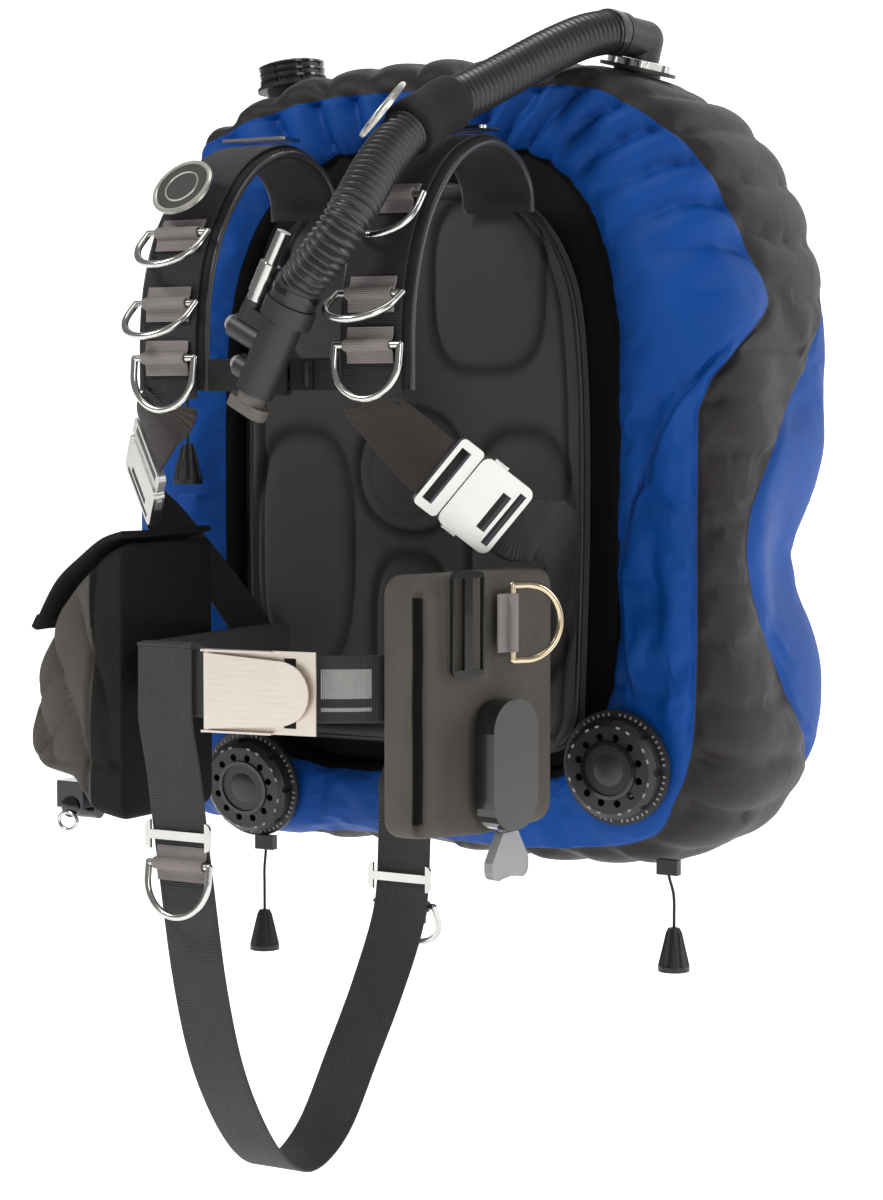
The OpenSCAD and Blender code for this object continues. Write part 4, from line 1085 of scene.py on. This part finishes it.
# where each front valve's flange meets the wing, and the way it faces
VALVES = {"left": ([-148, -34.4, -284], [0, -1, -0.16]),
          "right": ([198, -35.4, -248], [0, -1, -0.06])}
for name, (at, way) in VALVES.items():
    place = aim(at, way)
    rim_marks(f"valve_ticks_{name}", place, 41.4, 43.8, 4.0, 56, 0.7, TICK, 7)
    rim_marks(f"valve_dashes_{name}", place, 34.6, 36.2, 17.0, 24, 1.6, TICK, 3)
    lathe(f"valve_ring_{name}", [(20, 16.9), (20.4, 18.6), (23.4, 18.6), (24, 16.9)], place, GLOSS)
    lathe(f"valve_dome_{name}", [(0.01, 19.4), (5, 19.2), (10, 18.4), (13, 17.0)], place, HARD_GREY)
top_place = aim([-184, 88, 315], [-0.14, 0, 1])
rim_marks("valve_knurl_top", top_place, 27.8, 29.6, 6.0, 36, 0.9, HARD)
for h in (6.5, 12.5, 18.5):
    lathe(f"valve_band_top_{int(h)}", [(27.6, h), (29.4, h + 0.6), (29.4, h + 2.6), (27.6, h + 3.2)],
          top_place, GLOSS)

BADGES = {"left": ([MID[-1] - 1, -206, 205], [-0.05, -1, 0.75]),
          "right": ([72, -182, 258], [-0.6, -0.5, 0.62])}
for name, (at, way) in BADGES.items():
    place = aim(at, way)
    lathe(f"badge_recess_{name}", [(0.01, 2.8), (19, 2.8), (21.9, 2.7), (22.2, 1.7)], place, BADGE_DARK)
    lathe(f"badge_inner_{name}", [(13.6, 2.8), (13.8, 3.2), (14.8, 3.2), (15.0, 2.8)], place, BADGE)
    lathe(f"badge_rim_{name}", [(22.3, 2.9), (23, 3.5), (25, 3.5), (26.4, 2.4), (26.4, 0.4)], place, BADGE)

# the belt's print is stood for by a plain pale block over a thin line
near = BELT[(BELT[:, 0] > 66) & (BELT[:, 0] < 105) & (BELT[:, 1] < -238)]
near = near[np.argsort(near[:, 0])]
for i, (dz, high) in enumerate(((4, 22), (-15, 3))):
    line = np.c_[near[:, 0] + 0.3, near[:, 1] - 1.0, np.full(len(near), BELT_Z + dz)]
    ribbon(f"belt_bar_{i + 1}", line, [0, 0, 1.0], high, 0.8, BELT_PRINT, step=2)

# the shiny ring of the left pocket's roll buckle
ring = [[-199 + 9 * math.cos(a), -226, -296 + 7 * math.sin(a)]
        for a in np.radians(range(0, 361, 12))]
tube("roll_buckle_ring", ring, 1.6, STEEL, 10)
lathe("roll_buckle_cap", [(0.01, 1.8), (6.5, 1.6), (8.4, 0.6), (8.6, -3)],
      aim([-199, -223, -285], [0, -1, 0]), GLOSS)

# ---- camera, light, floor --------------------------------
az, el, dist = math.radians(30), math.radians(4), 2.3
target = Vector((0.0126, 0.0073, -0.125))
back = Vector((math.sin(az) * math.cos(el), -math.cos(az) * math.cos(el), math.sin(el)))
cam = bpy.data.objects.new("camera", bpy.data.cameras.new("camera"))
bpy.context.scene.collection.objects.link(cam)
cam.location = target + back * dist
cam.rotation_mode = "QUATERNION"
cam.rotation_quaternion = (-back).to_track_quat("-Z", "Y")
cam.data.lens = 82.8
cam.data.sensor_width = 36
bpy.context.scene.camera = cam


def area(name, place, aim_at, size, power):
    l = bpy.data.lights.new(name, "AREA")
    l.shape, l.size, l.size_y, l.energy = "RECTANGLE", size[0], size[1], power
    o = bpy.data.objects.new(name, l)
    bpy.context.scene.collection.objects.link(o)
    o.location = place
    d = Vector(aim_at) - Vector(place)
    o.rotation_mode = "QUATERNION"
    o.rotation_quaternion = d.to_track_quat("-Z", "Y")
    return o


for light in (("key", (-1.2, -2.0, 2.1), (0, 0, -0.05), (0.8, 0.8), 46),
              ("fill", (2.5, -1.6, 0.6), (0.1, 0, -0.1), (1.2, 1.6), 17),
              ("rim", (2.3, 0.9, 0.9), (0, 0, -0.1), (0.7, 1.0), 15),
              ("top", (0.1, -0.2, 2.2), (0, 0, 0), (1.2, 1.2), 9)):
    area(*light)
world = bpy.data.worlds.new("studio")
bpy.context.scene.world = world
world.use_nodes = True
world.node_tree.nodes["Background"].inputs[0].default_value = (1, 1, 1, 1)
world.node_tree.nodes["Background"].inputs[1].default_value = 0.22
FLOOR = material("floor_white", (0.9, 0.9, 0.9, 1), 0.9, spec=0.1)
glow = FLOOR.node_tree.nodes["Principled BSDF"]
glow.inputs["Emission Color"].default_value = (1, 1, 1, 1)
glow.inputs["Emission Strength"].default_value = 0.72


def backdrop():
    z = -600.0
    prof = [(-5200, z), (2600, z)] + [(2600 + 900 * math.sin(a), z + 900 * (1 - math.cos(a)))
                                      for a in np.radians(range(10, 91, 8))] + [(3500, 4200)]
    v = [(x, y, h) for x in (-6500, 6500) for y, h in prof]
    k = len(prof)
    o = mesh("backdrop", v, [[j, j + 1, k + j + 1, k + j] for j in range(k - 1)], FLOOR, angle=0)


backdrop()
bpy.context.scene.view_settings.view_transform = "Standard"
